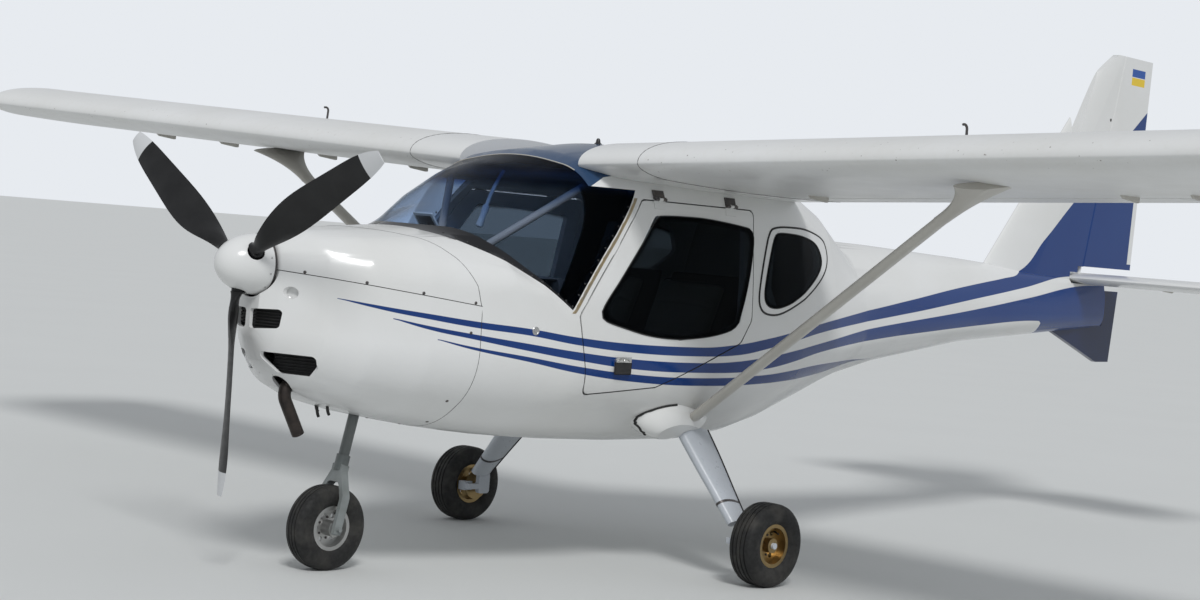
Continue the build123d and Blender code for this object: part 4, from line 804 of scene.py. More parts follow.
def buildPad(look):
    # a block with soft corners, swollen by cloth pressure
    size = look["size"]
    pad = block([-v / 2 for v in size], [v / 2 for v in size], seatLook["corner"], 4)
    remesh = pad.modifiers.new("even faces", "REMESH")
    remesh.mode = "VOXEL"
    remesh.voxel_size = seatLook["voxel"]
    applyModifiers(pad)
    rest = [vertex.co.copy() for vertex in pad.data.vertices]
    cloth = pad.modifiers.new("swell", "CLOTH")
    cloth.settings.use_pressure = True
    cloth.settings.uniform_pressure_force = seatLook["pressure"]
    cloth.settings.effector_weights.gravity = 0
    cloth.settings.quality = 4
    cloth.collision_settings.use_collision = False
    cloth.point_cache.frame_start, cloth.point_cache.frame_end = 1, seatLook["frames"]
    for step in range(1, seatLook["frames"] + 1):
        bpy.context.scene.frame_set(step)
    swollen = pad.evaluated_get(bpy.context.evaluated_depsgraph_get()).to_mesh()
    moved = [vertex.co.copy() for vertex in swollen.vertices]
    pad.modifiers.remove(cloth)
    for vertex, start, end in zip(pad.data.vertices, rest, moved):
        way = end - start
        vertex.co = start + way * min(1, seatLook["reach"] / max(way.length, 0.0001))
    bpy.context.scene.frame_set(1)
    # sewn channels run across the top
    for vertex, start in zip(pad.data.vertices, rest):
        if start.z > size[2] * 0.30:
            for line in range(seatLook["channels"]):
                middle = size[0] * ((line + 1) / (seatLook["channels"] + 1) - 0.5)
                away = (start.x - middle) / seatLook["channelWidth"]
                vertex.co.z -= seatLook["channelDepth"] * math.exp(-away * away)
    pad.data.update()
    soften = pad.modifiers.new("soften", "SUBSURF")
    soften.levels = soften.render_levels = 1
    applyModifiers(pad)
    return pad


def buildSeats():
    for word in ("pan", "back"):
        look = seatLook[word]
        pad = buildPad(look)
        long, wide = (v / 2 + seatLook["pipingGap"] for v in look["size"][:2])
        line = [(x * long, y * wide, 0) for x, y in seatLook["piping"]]
        welt = pipe(line, seatLook["pipingRadius"], closed=True)
        for name, side in sides.items():
            x, y, z = look["centre"]
            tilt = Matrix.Rotation(math.radians(look["tilt"]), 4, "Y")
            place = Matrix.Translation((x, side * y, z)) @ tilt
            seat = name + "_seat_" + word
            made = finishPiece(twinAt(pad, place), seat + "_cushion", "fuselage", "seat cloth", 60)
            finishPiece(twinAt(welt, place), seat + "_piping", "fuselage", "strap webbing", 60)
        bpy.data.objects.remove(pad)
        bpy.data.objects.remove(welt)
    for name, side in sides.items():
        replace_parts(buildSeatShell(name, side), name + "_seat")


buildSeats()
print("seats made")

# seams, seals and strips that follow the skin
cowlTree = treeOf("upper_cowl", "lower_cowl")
shellTree = treeOf("cabin_shell", "left_door_panel", "right_door_panel", "upper_cowl", "lower_cowl")
glassTree = treeOf("windscreen", "cabin_shell", "left_door_panel", "right_door_panel")
wingTree = treeOf("left_wing", "right_wing", "left_wing_root", "right_wing_root")
seamLook = dict(
    radius=0.0016, sunk=0.0009, cowlRear=-2.3265, cowlMiddle=0.80, turns=60,
    split=((-3.035, 1.1493), (-2.328, 1.0655)),
    upper=((-2.331, 0.493, 1.066), (-2.336, 0.491, 1.085), (-2.349, 0.483, 1.141), (-2.374, 0.461, 1.187),
           (-2.407, 0.406, 1.242), (-2.445, 0.359, 1.275), (-2.483, 0.315, 1.297), (-2.534, 0.256, 1.309),
           (-2.575, 0.170, 1.33), (-2.602, 0.085, 1.33), (-2.610, 0.0, 1.33)),
)


def thickened(points, steps):
    # a polyline with more points along each run
    dense = []
    for start, end in zip(points, points[1:]):
        for step in range(steps):
            share = step / steps
            dense.append([a + (b - a) * share for a, b in zip(start, end)])
    return dense + [list(points[-1])]


def skinLine(tree, points, side, lift, steps=8):
    line = []
    for x, z in thickened(points, steps):
        hit, normal = onSide(tree, x, z, side)
        if hit:
            line.append(hit + normal * lift)
    return line


def buildCowlSeams():
    look = seamLook
    ring = []
    for turn in range(look["turns"] + 1):
        angle = math.pi * (0.5 + turn / look["turns"])
        way = Vector((0, math.cos(angle), math.sin(angle)))
        start = Vector((look["cowlRear"], 0, look["cowlMiddle"])) + way * 1.5
        hit = shellTree.ray_cast(start, -way)[0]
        if hit and hit.z < look["split"][1][1]:
            ring.append(hit - way * look["sunk"])
    parts = []
    for side in sides.values():
        parts.append(pipe([(p.x, -side * p.y, p.z) for p in ring], look["radius"], rings=1))
        parts.append(pipe(skinLine(cowlTree, look["split"], side, -look["sunk"]), look["radius"], rings=1))
        crown = []
        for x, y, z in thickened(look["upper"], 4):
            hit, normal = cowlTree.find_nearest(Vector((x, side * y, z)))[:2]
            crown.append(hit - normal * look["sunk"])
        parts.append(pipe(crown, look["radius"], rings=1))
    finishPiece(joinAll(parts), "cowl_seams", "fuselage", "black rubber", 60)


def screwHead(radius=0.0055, height=0.0018):
    # a domed head with a raised cross
    head = lathe([(0, -0.001), (radius, -0.001), (radius, height * 0.35), (radius * 0.8, height * 0.8),
                  (radius * 0.4, height), (0, height)], steps=14)
    bars = []
    for wide, tall in ((0.6, 0.12), (0.12, 0.6)):
        bars.append(block((-radius * wide, -radius * tall, height * 0.55),
                          (radius * wide, radius * tall, height * 1.12), radius * 0.04, 1))
    return joinAll([head] + bars)


fastenerLook = dict(
    side=((-2.944, 1.1455), (-2.775, 1.1255), (-2.571, 1.1015), (-2.356, 1.0765), (-2.369, 0.963),
          (-2.380, 0.696)),
    belly=((-2.352, 0.10), (-2.352, 0.26)), radius=0.0062, height=0.002,
)


def buildFasteners():
    look = fastenerLook
    spots = []
    for side in sides.values():
        spots += [onSide(cowlTree, x, z, side) for x, z in look["side"]]
        spots += [underneath(cowlTree, x, side * y) for x, y in look["belly"]]
    screws = copiesAt(screwHead(look["radius"], look["height"]), standOn(spots))
    finishPiece(screws, "cowl_screws", "fuselage", "dark steel")


screenScrews = dict(
    foot=((-2.330, 1.330), (-2.250, 1.288), (-2.150, 1.232), (-2.050, 1.172), (-1.950, 1.106)),
    rear=((-1.922, 1.085), (-1.822, 1.220), (-1.712, 1.370), (-1.622, 1.490)), radius=0.0042, height=0.0015,
)


def buildScreenScrews():
    # small screws round the windscreen's foot and up its rear edge
    look = screenScrews
    spots = []
    for side in sides.values():
        for x, z in thickened(look["foot"], 3) + thickened(look["rear"], 3):
            spots.append(onSide(glassTree, x, z, side))
    screws = copiesAt(screwHead(look["radius"], look["height"]), standOn(spots))
    finishPiece(screws, "windscreen_screws", "fuselage", "black moulding")


pillarLook = dict(
    line=((-1.902, 1.058), (-1.862, 1.112), (-1.760, 1.251), (-1.660, 1.387), (-1.556, 1.528)), ahead=0.006,
    width=0.016, wall=0.0012, lift=0.0006, waves=((0.0012, 310), (0.0009, 137)),
)


def buildPillarStrips():
    # a thin metal strip closes the windscreen's rear edge, ahead of each door
    look = pillarLook
    for name, side in sides.items():
        rear, front = [], []
        for x, z in thickened(look["line"], 9):
            hit, normal = onSide(glassTree, x - look["ahead"], z, side)
            if hit:
                ragged = sum(size * math.sin(x * pace) for size, pace in look["waves"])
                forward = (normal * normal.x - xAxis).normalized()
                rear.append(hit + normal * look["lift"])
                front.append(rear[-1] + forward * (look["width"] + ragged))
        deselectAll()
        bpy.ops.mesh.primitive_grid_add(x_subdivisions=len(rear) - 1, y_subdivisions=1, size=1)
        strip = bpy.context.object
        for vertex, spot in zip(strip.data.vertices, rear + front):
            vertex.co = spot
        strip.data.update()
        wall = strip.modifiers.new("thickness", "SOLIDIFY")
        wall.thickness, wall.offset = look["wall"], 0
        applyModifiers(strip)
        tidyMesh(strip)
        finishPiece(strip, name + "_pillar_strip", "fuselage", "brass strip", 60)


def thinned(line, gap):
    kept = [line[0]]
    for point in line[1:]:
        if (point - kept[-1]).length > gap:
            kept.append(point)
    if (kept[-1] - kept[0]).length < gap * 0.6:
        kept.pop()
    return kept


paneLook = dict(
    door=((-1.469, 1.450), (-1.436, 1.466), (-1.28, 1.472), (-1.133, 1.470), (-0.909, 1.452),
          (-0.868, 1.440), (-0.848, 1.415), (-0.863, 1.321), (-0.901, 1.192), (-0.937, 1.096),
          (-0.955, 1.050), (-0.977, 1.030), (-1.020, 1.012), (-1.128, 0.990), (-1.270, 0.976),
          (-1.386, 0.974), (-1.519, 0.985), (-1.651, 1.010), (-1.742, 1.031), (-1.770, 1.047),
          (-1.774, 1.071), (-1.739, 1.125), (-1.635, 1.248), (-1.536, 1.366)),
    rear=((-0.666, 1.438), (-0.580, 1.443), (-0.441, 1.437), (-0.310, 1.416), (-0.250, 1.380),
          (-0.236, 1.327), (-0.290, 1.272), (-0.407, 1.205), (-0.530, 1.150), (-0.626, 1.124),
          (-0.702, 1.117), (-0.755, 1.131), (-0.775, 1.172), (-0.761, 1.245), (-0.730, 1.335),
          (-0.697, 1.412)),
    ring=((-0.690, 1.459), (-0.578, 1.469), (-0.391, 1.466), (-0.215, 1.436), (-0.166, 1.387),
          (-0.180, 1.320), (-0.260, 1.253), (-0.409, 1.176), (-0.562, 1.118), (-0.673, 1.091),
          (-0.755, 1.093), (-0.797, 1.115), (-0.811, 1.160), (-0.795, 1.246), (-0.760, 1.357),
          (-0.728, 1.432)),
    doorEdge=((-1.889, 1.046), (-1.884, 1.02), (-1.830, 0.765), (-1.816, 0.745), (-1.790, 0.742),
              (-1.450, 0.772), (-1.418, 0.779), (-0.960, 0.953), (-0.930, 0.968), (-0.872, 1.046),
              (-0.860, 1.080), (-0.845, 1.490), (-0.850, 1.515), (-0.872, 1.5265), (-1.510, 1.5265),
              (-1.540, 1.520), (-1.560, 1.498), (-1.880, 1.066)),
    lift=0.0010, wall=0.0018, seal=0.0024, ringSeal=0.0048, gap=0.0015, rings=9, border=0.93,
    flangeLift=0.0003, flangeWall=0.0022,
)


def smoothed(before, start, end, after, t):
    # a smooth value between start and end
    return 0.5 * (2 * start + (end - before) * t + (2 * before - 5 * start + 4 * end - after) * t * t
                  + (3 * start - before - 3 * end + after) * t ** 3)


def roundLine(points, count):
    # a smooth closed line through the outline's points, evenly divided
    dense = []
    total = len(points)
    for place in range(total):
        four = [points[(place + step) % total] for step in (-1, 0, 1, 2)]
        dense += [[smoothed(*values, step / 6) for values in zip(*four)] for step in range(6)]
    runs = [math.dist(a, b) for a, b in zip(dense, dense[1:] + dense[:1])]
    whole = sum(runs)
    line, place, gone = [], 0, 0.0
    for number in range(count):
        goal = whole * number / count
        while gone + runs[place] < goal:
            gone += runs[place]
            place += 1
        share = (goal - gone) / runs[place]
        start, end = dense[place], dense[(place + 1) % len(dense)]
        line.append([a + (b - a) * share for a, b in zip(start, end)])
    return line


def skinSheet(tree, rings, count, spotAt, side, lift):
    # a round grid laid on the skin, where spotAt gives (x, z) for each ring and turn
    deselectAll()
    bpy.ops.mesh.primitive_grid_add(x_subdivisions=count, y_subdivisions=rings, size=1)
    sheet = bpy.context.object
    for number, vertex in enumerate(sheet.data.vertices):
        ring, turn = divmod(number, count + 1)
        hit, normal = onSide(tree, *spotAt(ring, turn % count), side)
        vertex.co = hit + normal * lift
    return sheet


def closeSheet(sheet, side, thickness):
    # merged at its seam, turned to face outwards and given a thickness
    openMesh(sheet)
    bpy.ops.mesh.remove_doubles(threshold=0.00005)
    bpy.ops.mesh.normals_make_consistent(inside=False)
    closeMesh()
    if sum(face.normal.y for face in sheet.data.polygons) * side < 0:
        openMesh(sheet)
        bpy.ops.mesh.flip_normals()
        closeMesh()
    wall = sheet.modifiers.new("wall", "SOLIDIFY")
    wall.thickness, wall.offset = thickness, 1
    applyModifiers(sheet)
    return sheet


def skinPatch(tree, outline, side, lift, rings):
    # a pane that follows the skin inside an outline, darker at its rim
    count = len(outline)
    middle = [sum(p[i] for p in outline) / count for i in (0, 1)]

    def spotAt(ring, turn):
        share = (ring / rings) ** 0.8
        return [middle[i] + (outline[turn][i] - middle[i]) * share for i in (0, 1)]

    pane = skinSheet(tree, rings, count, spotAt, side, lift)
    shade = pane.data.attributes.new("rimShade", "FLOAT", "POINT")
    for number, spot in enumerate(shade.data):
        ring = number // (count + 1)
        spot.value = 1.0 if (ring / rings) ** 0.8 > paneLook["border"] else 0.0
    return closeSheet(pane, side, paneLook["wall"])


def buildPanes():
    look = paneLook
    for name, side in sides.items():
        doorTree = treeOf(name + "_door_panel", name + "_door_window", "cabin_shell")
        rearTree = treeOf(name + "_rear_window", "cabin_shell")
        for word, tree, body in (("door", doorTree, name + "_door"), ("rear", rearTree, "fuselage")):
            outline = roundLine(look[word], 88)
            pane = skinPatch(tree, outline, side, look["lift"], look["rings"])
            finishPiece(pane, name + "_" + word + "_pane", body, "smoked window", 40)
            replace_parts(pane, name + "_" + word + "_window")
            line = skinLine(tree, outline, side, look["lift"] + 0.0006, 1)
            seal = pipe(line, look["seal"], closed=True, rings=2)
            finishPiece(seal, name + "_" + word + "_pane_seal", body, "black rubber", 60)
        line = skinLine(rearTree, roundLine(look["ring"], 96), side, 0.0004, 1)
        ring = pipe(line, look["ringSeal"], closed=True, rings=2)
        finishPiece(ring, name + "_rear_pane_ring", "fuselage", "black rubber", 60)
        edge = thickened(list(look["doorEdge"]) + [look["doorEdge"][0]], 6)[:-1]
        edgeTree = treeOf(name + "_door_panel", "cabin_shell", "windscreen")
        line = skinLine(edgeTree, edge, side, -look["gap"] * 0.5, 1)
        seal = pipe(line, look["gap"], closed=True, rings=1)
        finishPiece(seal, name + "_door_seal", "fuselage", "black rubber", 60)


buildCowlSeams()
buildFasteners()
buildScreenScrews()
buildPillarStrips()
buildPanes()
print("seams and seals made")

# spinner: metal lips round the blade openings, screws and a dark backplate line
spinnerLook = dict(centre=(-3.091, 0, 1.159), backX=-3.0185, radius=0.1137, lip=0.00132, screws=12,
                   screwX=-3.034, screwHead=0.0042)


def sharpLoops(name, test):
    # closed lines along a node's sharp edges, where test(point) holds
    node = nodes[name]
    copy = node.copy()
    copy.data = node.data.copy()
    bpy.context.collection.objects.link(copy)
    copy.modifiers.clear()
    copy.parent = None
    copy.matrix_world = node.matrix_world.copy()
    openMesh(copy)
    bpy.ops.mesh.remove_doubles(threshold=0.0001)
    bpy.ops.mesh.select_all(action="DESELECT")
    bpy.ops.mesh.edges_select_sharp(sharpness=math.radians(40))
    closeMesh()
    chosen = {}
    for edge in copy.data.edges:
        a, b = edge.vertices
        if edge.select and test(copy.data.vertices[a].co) and test(copy.data.vertices[b].co):
            chosen.setdefault(a, []).append(b)
            chosen.setdefault(b, []).append(a)
    loops, seen = [], set()
    for first in chosen:
        if first in seen:
            continue
        loop, here = [first], first
        seen.add(first)
        while True:
            ahead = [spot for spot in chosen[here] if spot not in seen]
            if not ahead:
                break
            here = ahead[0]
            seen.add(here)
            loop.append(here)
        loops.append([copy.data.vertices[i].co.copy() for i in loop])
    bpy.data.objects.remove(copy)
    return loops


def buildSpinnerTrim():
    look = spinnerLook
    tree = treeOf("spinner")
    middle = look["centre"][2]
    back = []
    for turn in range(72):
        angle = math.tau * turn / 72
        back.append((look["backX"] + 0.001, look["radius"] * math.cos(angle),
                     middle + look["radius"] * math.sin(angle)))
    edge = pipe(back, 0.0016, closed=True, rings=2)
    finishPiece(edge, "spinner_backplate_edge", "propeller", "dark steel", 60)
    spots = []
    for turn in range(look["screws"]):
        angle = math.tau * (turn + 0.5) / look["screws"]
        way = Vector((0, math.cos(angle), math.sin(angle)))
        axle = Vector((look["screwX"], 0, middle))
        hit, normal = tree.ray_cast(axle + way * 0.3, -way)[:2]
        if hit and (hit - axle).length > 0.09:
            spots.append((hit, normal))
    screws = copiesAt(screwHead(look["screwHead"], 0.0014), standOn(spots))
    finishPiece(screws, "spinner_screws", "propeller", "bare alloy")

    def outside(point):
        return math.hypot(point.y, point.z - middle) > 0.02 and point.x < -3.02

    parts = []
    for loop in sharpLoops("spinner", outside):
        if len(loop) > 14:
            line = thinned(loop, 0.003)
            if (line[0] - line[-1]).length < 0.02:
                parts.append(pipe(line, look["lip"], closed=True, rings=2))
    if parts:
        finishPiece(joinAll(parts), "spinner_opening_lips", "propeller", "polished lip", 60)
    print("spinner lips:", len(parts))


buildSpinnerTrim()

# small fittings on the body and the wings
capLook = dict(place=(-2.088, 0.983), radius=0.016)


def buildSideCap():
    r = capLook["radius"]
    outline = [(0, -0.002), (r, -0.002), (r, 0.0012), (r * 0.92, 0.0022), (r * 0.70, 0.0024),
               (r * 0.62, 0.0014), (r * 0.40, 0.0012), (r * 0.34, 0.0028), (0, 0.003)]
    cap = lathe(outline, turnTo(*onSide(shellTree, *capLook["place"], -1)), 36)
    finishPiece(cap, "side_cap", "fuselage", "bare alloy", 30)


handleLook = dict(centre=(-1.655, 0.868), pocket=(0.046, 0.026), drop=0.016, lever=(0.043, 0.011), rise=0.017)


def buildDoorHandles():
    # a dark pocket with a metal lever above it
    look = handleLook
    for name, side in sides.items():
        tree = treeOf(name + "_door_panel", name + "_door_latch")
        hit, normal = onSide(tree, *look["centre"], side)
        place = turnTo(hit, normal)
        wide, tall = look["pocket"]
        low = -look["drop"]
        pocket = block((-wide, low - tall, -0.004), (wide, low + tall, 0.0024), 0.006, 3)
        openMesh(pocket)
        bpy.ops.mesh.select_all(action="DESELECT")
        closeMesh()
        for face in pocket.data.polygons:
            face.select = face.normal.z > 0.99 and face.center.z > 0
        bpy.ops.object.mode_set(mode="EDIT")
        bpy.ops.mesh.inset(thickness=0.003)
        bpy.ops.transform.translate(value=(0, 0, -0.0018))
        closeMesh()
        pocket.matrix_world = place
        finishPiece(pocket, name + "_handle_pocket", name + "_door", "black rubber", 30)
        long, high = look["lever"]
        rise = look["rise"]
        plate = block((-long, rise - high, 0.0004), (long, rise + high, 0.0032), 0.0014, 2)
        bow = pipe([(-long * 0.8, rise - high * 0.6, 0.003), (-long * 0.66, rise + high * 0.2, 0.006),
                    (0, rise + high * 0.65, 0.0075), (long * 0.66, rise + high * 0.2, 0.006),
                    (long * 0.8, rise - high * 0.6, 0.003)], 0.0028, smooth=True)
        knob = lathe([(0, 0), (0.0075, 0), (0.0075, 0.0035), (0.006, 0.0052), (0.0025, 0.0056), (0, 0.0046)],
                     Matrix.Translation((0, rise - high * 0.2, 0.0026)), 20)
        handle = joinAll([plate, bow, knob])
        handle.matrix_world = place
        finishPiece(handle, name + "_handle_lever", name + "_door", "polished lip", 30)


drainLook = dict(spots=((-2.700, -0.080, 0.030), (-2.655, 0.045, 0.022), (-2.590, 0.120, 0.036)),
                 radius=0.006)


def buildDrains():
    parts = []
    for x, y, reach in drainLook["spots"]:
        hit, _ = underneath(cowlTree, x, y)
        if hit:
            bend = hit - Vector((0, 0, reach * 0.6))
            line = [hit + Vector((0, 0, 0.012)), bend, bend + Vector((0.012, 0, -reach * 0.5))]
            parts.append(pipe(line, drainLook["radius"], smooth=True))
    finishPiece(joinAll(parts), "drain_tubes", "fuselage", "black rubber", 50)


fuelCapLook = dict(place=(-1.230, 1.42), radius=0.034)


def buildFuelCaps():
    r = fuelCapLook["radius"]
    x, y = fuelCapLook["place"]
    places = []
    for side in sides.values():
        hit, normal = onTop(wingTree, x, side * y)
        places.append(turnTo(hit - normal * 0.001, normal, xAxis))
    cap = lathe([(0, 0), (r, 0), (r, 0.002), (r * 0.86, 0.003), (r * 0.84, 0.0016), (r * 0.80, 0.0016),
                 (r * 0.78, 0.0034), (0, 0.0038)], steps=40)
    grip = block((-r * 0.55, -0.003, 0.0034), (r * 0.55, 0.003, 0.0085), 0.0015, 2)
    finishPiece(copiesAt(joinAll([cap, grip]), places), "fuel_caps", "fuselage", "bare alloy", 30)


roofFitting = dict(place=(-1.28, 0.0), radius=0.017)


def buildRoofFitting():
    tree = treeOf("roof_panel", "cabin_shell", "left_wing_root", "right_wing_root")
    r = roofFitting["radius"]
    outline = [(0, -0.002), (r, -0.002), (r, 0.003), (r * 0.62, 0.008), (r * 0.5, 0.020), (r * 0.3, 0.026),
               (0, 0.027)]
    knob = lathe(outline, turnTo(*onTop(tree, *roofFitting["place"])), 28)
    finishPiece(knob, "roof_aerial_foot", "fuselage", "black moulding", 40)


buildSideCap()
buildDoorHandles()
buildDrains()
buildFuelCaps()
buildRoofFitting()
print("fittings made")

# a white flange stands round each rear window, inside its dark outline
def startAtTop(outline):
    # the outline again, starting from its highest point and running rearwards first
    top = max(range(len(outline)), key=lambda i: outline[i][1])
    turned = outline[top:] + outline[:top]
    return turned if turned[3][0] > turned[0][0] else [turned[0]] + turned[:0:-1]


def buildFlanges():
    rings, count = 3, 96
    outer, inner = (startAtTop(roundLine(paneLook[word], count)) for word in ("ring", "rear"))

    def spotAt(ring, turn):
        return [outer[turn][i] + (inner[turn][i] - outer[turn][i]) * ring / rings for i in (0, 1)]

    for name, side in sides.items():
        tree = treeOf(name + "_rear_window", "cabin_shell")
        flange = skinSheet(tree, rings, count, spotAt, side, paneLook["flangeLift"])
        closeSheet(flange, side, paneLook["flangeWall"])
        finishPiece(flange, name + "_rear_pane_flange", "fuselage", "white paint", 40)


buildFlanges()

# black seals on the gear fairings
fairingSeal = dict(high=0.715, low=0.570, front=-1.56, rear=-1.10, radius=0.0055)


def buildFairingSeals():
    # a seal runs down the front edge of each fairing, where it leaves the cabin's skin
    look = fairingSeal
    for name, side in sides.items():
        fairing, cabin = treeOf(name + "_gear_fairing"), treeOf("cabin_shell")
        inwards = Vector((0, -side, 0))
        line = []
        for step in range(30):
            z = look["high"] + (look["low"] - look["high"]) * step / 29
            for stride in range(90):
                x = look["front"] + (look["rear"] - look["front"]) * stride / 89
                start = Vector((x, side * 3, z))
                hit, skin = (tree.ray_cast(start, inwards)[0] for tree in (fairing, cabin))
                if hit and (skin is None or abs(hit.y) > abs(skin.y)):
                    line.append(hit - inwards * 0.001)
                    break
        seal = pipe(thinned(line, 0.008), look["radius"], smooth=True, rings=2)
        finishPiece(seal, name + "_fairing_seal", "fuselage", "black rubber", 60)


buildFairingSeals()

# streamlined covers round the main gear legs, as (height, chord, thickness), with a band and a brake hose
legCoverLook = dict(
    stations=((0.585, 0.190, 0.058), (0.540, 0.186, 0.057), (0.480, 0.176, 0.055), (0.420, 0.162, 0.053),
              (0.360, 0.146, 0.050), (0.310, 0.134, 0.048), (0.270, 0.126, 0.046), (0.238, 0.120, 0.045)),
    around=28, legX=-1.083, heights=(0.54, 0.34), band=(0.312, 0.1385, 0.052), bandHalf=0.005,
    hose=0.0036, hoseEnd=(-1.045, 0.842, 0.205),
)


def loft(rows):
    # rows of points joined into a closed body with flat ends
    around, count = len(rows[0]), len(rows)
    deselectAll()
    bpy.ops.mesh.primitive_grid_add(x_subdivisions=around, y_subdivisions=count - 1, size=1)
    body = bpy.context.object
    for number, vertex in enumerate(body.data.vertices):
        row, turn = divmod(number, around + 1)
        vertex.co = rows[row][turn % around]
    openMesh(body)
    bpy.ops.mesh.remove_doubles(threshold=0.00002)
    bpy.ops.mesh.select_all(action="DESELECT")
    bpy.ops.mesh.select_non_manifold()
    bpy.ops.mesh.fill_holes(sides=0)
    bpy.ops.mesh.select_all(action="SELECT")
    bpy.ops.mesh.normals_make_consistent(inside=False)
    closeMesh()
    return body


def teardrop(chord, thickness, around):
    # a streamlined section: nose at -x, tail at +x
    spots = []
    for turn in range(around):
        angle = math.tau * turn / around
        share = 0.5 - 0.5 * math.cos(angle)
        half = thickness * (1.48 * math.sqrt(share) - 0.63 * share - 1.76 * share ** 2
                            + 1.42 * share ** 3 - 0.508 * share ** 4)
        spots.append(((share - 0.42) * chord, half if angle <= math.pi else -half))
    return spots


def legMiddle(name, side, height):
    # the middle of the leg at a height, between its outer and inner faces
    tree, x = treeOf(name + "_main_gear_leg"), legCoverLook["legX"]
    outer = tree.ray_cast(Vector((x, side * 1.5, height)), Vector((0, -side, 0)))[0]
    inner = tree.ray_cast(Vector((x, 0, height)), Vector((0, side, 0)))[0]
    return (outer + inner) / 2


def buildLegCovers():
    look = legCoverLook
    for name, side in sides.items():
        high, low = (legMiddle(name, side, height) for height in look["heights"])
        way = (low - high).normalized()
        across = Vector((0, way.z, -way.y)).normalized() * side

        def middleAt(height):
            return high + way * ((height - high.z) / way.z)

        def section(height, chord, thickness, lift=0.0):
            middle = middleAt(height)
            return [Vector((middle.x + x, middle.y, middle.z)) + across * y + way * lift
                    for x, y in teardrop(chord, thickness, look["around"])]

        cover = loft([section(*station) for station in look["stations"]])
        finishPiece(cover, name + "_leg_cover", "fuselage", "leg gelcoat", 50)
        band = loft([section(*look["band"], lift) for lift in (-look["bandHalf"], look["bandHalf"])])
        finishPiece(band, name + "_leg_band", "fuselage", "dark steel", 50)
        hose = [middleAt(height) + Vector((chord * 0.58 + 0.003, 0, 0))
                for height, chord, _ in look["stations"]]
        x, y, z = look["hoseEnd"]
        hose += [hose[-1] + Vector((0.004, side * 0.012, -0.035)), Vector((x, side * y, z))]
        made = pipe(hose, look["hose"], smooth=True)
        finishPiece(made, name + "_brake_hose", "fuselage", "black rubber", 60)


buildLegCovers()

# cowl inlets: white cups behind the round holes, and finned cores behind the other inlets
cupShape = ((0, -0.026), (0.020, -0.023), (0.031, -0.012), (0.0345, -0.0045), (0.0365, -0.0045),
            (0.035, -0.013), (0.022, -0.026), (0, -0.029))
inletLook = dict(
    hole=(0.158, 1.066), reach=0.027, fins=9,
    cores=(dict(y=(0.010, 0.130), z=(0.920, 1.004), tilt=18, sunk=0.030),
           dict(y=(0.034, 0.234), z=(0.758, 0.842), tilt=33, sunk=0.022)),
)


def noseX(tree, y, z):
    hit = tree.ray_cast(Vector((-4, y, z)), xAxis)[0]
    return hit.x if hit else -2.98


def buildCore(tree, core, side):
    (y0, y1), (z0, z1) = core["y"], core["z"]
    wide, tall = (y1 - y0) / 2 + 0.012, (z1 - z0) / 2 + 0.010
    fins = [block((0.014, -wide, -tall), (0.020, wide, tall), 0.001, 1)]
    step = 2 * tall / inletLook["fins"]
    for fin in range(inletLook["fins"]):
        foot = step * (fin + 0.3) - tall
        fins.append(block((0, -wide, foot), (0.016, wide, foot + step * 0.3), 0.0008, 1))
    made = joinAll(fins)
    y = side * (y0 + y1) / 2
    x = max(noseX(tree, y, z1 + 0.012), noseX(tree, y, z0 - 0.012)) + core["sunk"]
    turn = Matrix.Rotation(math.radians(side * -core["tilt"]), 4, "Z")
    made.matrix_world = Matrix.Translation((x, y, (z0 + z1) / 2)) @ turn
    return made


def buildInlets():
    look = inletLook
    tree = treeOf("lower_cowl")
    y, z = look["hole"]
    cups, cores = [], []
    for side in sides.values():
        # a cup sits square to the skin
        outer, inner = (noseX(tree, side * (y + reach), z) for reach in (look["reach"], -look["reach"]))
        normal = Vector((-2 * look["reach"], side * (outer - inner), 0)).normalized()
        middle = Vector(((outer + inner) / 2, side * y, z))
        cups.append(lathe(cupShape, turnTo(middle, normal), 40))
        cores += [buildCore(tree, core, side) for core in look["cores"]]
    finishPiece(joinAll(cups), "round_inlet_cups", "fuselage", "white paint", 40)
    finishPiece(joinAll(cores), "inlet_cores", "fuselage", "radiator core", 30)


buildInlets()

# wing joints and the roof's front seam
seamSpots = dict(wingY=0.6795, wingX=(-1.742, -0.452), wingRadius=0.0015, roofX=-1.7665, roofHalf=0.36,
                 roofSteps=40, roofRadius=0.0028)


def sectionRing(tree, y, front, rear, steps=30):
    # a closed line round a wing at one station
    top, bottom = [], []
    for step in range(steps + 1):
        share = 0.5 - 0.5 * math.cos(math.pi * step / steps)
        x = front + (rear - front) * share
        top.append(onTop(tree, x, y)[0])
        bottom.append(underneath(tree, x, y, 1.2)[0])
    return [spot for spot in top + bottom[::-1] if spot is not None]


def buildWingSeams():
    look = seamSpots
    parts = []
    for name, side in sides.items():
        tree = treeOf(name + "_wing", name + "_wing_root")
        ring = sectionRing(tree, side * look["wingY"], *look["wingX"])
        parts.append(pipe(thinned(ring, 0.004), look["wingRadius"], closed=True, rings=1))
    finishPiece(joinAll(parts), "wing_joint_seams", "fuselage", "black rubber", 60)
    tree = treeOf("roof_panel", "windscreen", "cabin_shell")
    line = []
    for step in range(look["roofSteps"] + 1):
        y = look["roofHalf"] * (2 * step / look["roofSteps"] - 1)
        hit, normal = onTop(tree, look["roofX"], y, 1.9)
        if hit and normal.z > 0.2:
            line.append(hit + normal * 0.0002)
    finishPiece(pipe(line, look["roofRadius"], rings=2), "roof_front_seam", "fuselage", "strut paint", 60)


buildWingSeams()

hingeLook = dict(ys=(0.90, 1.62, 2.34, 2.62, 3.20, 3.80), half=0.005, ends=(-0.950, -0.830))


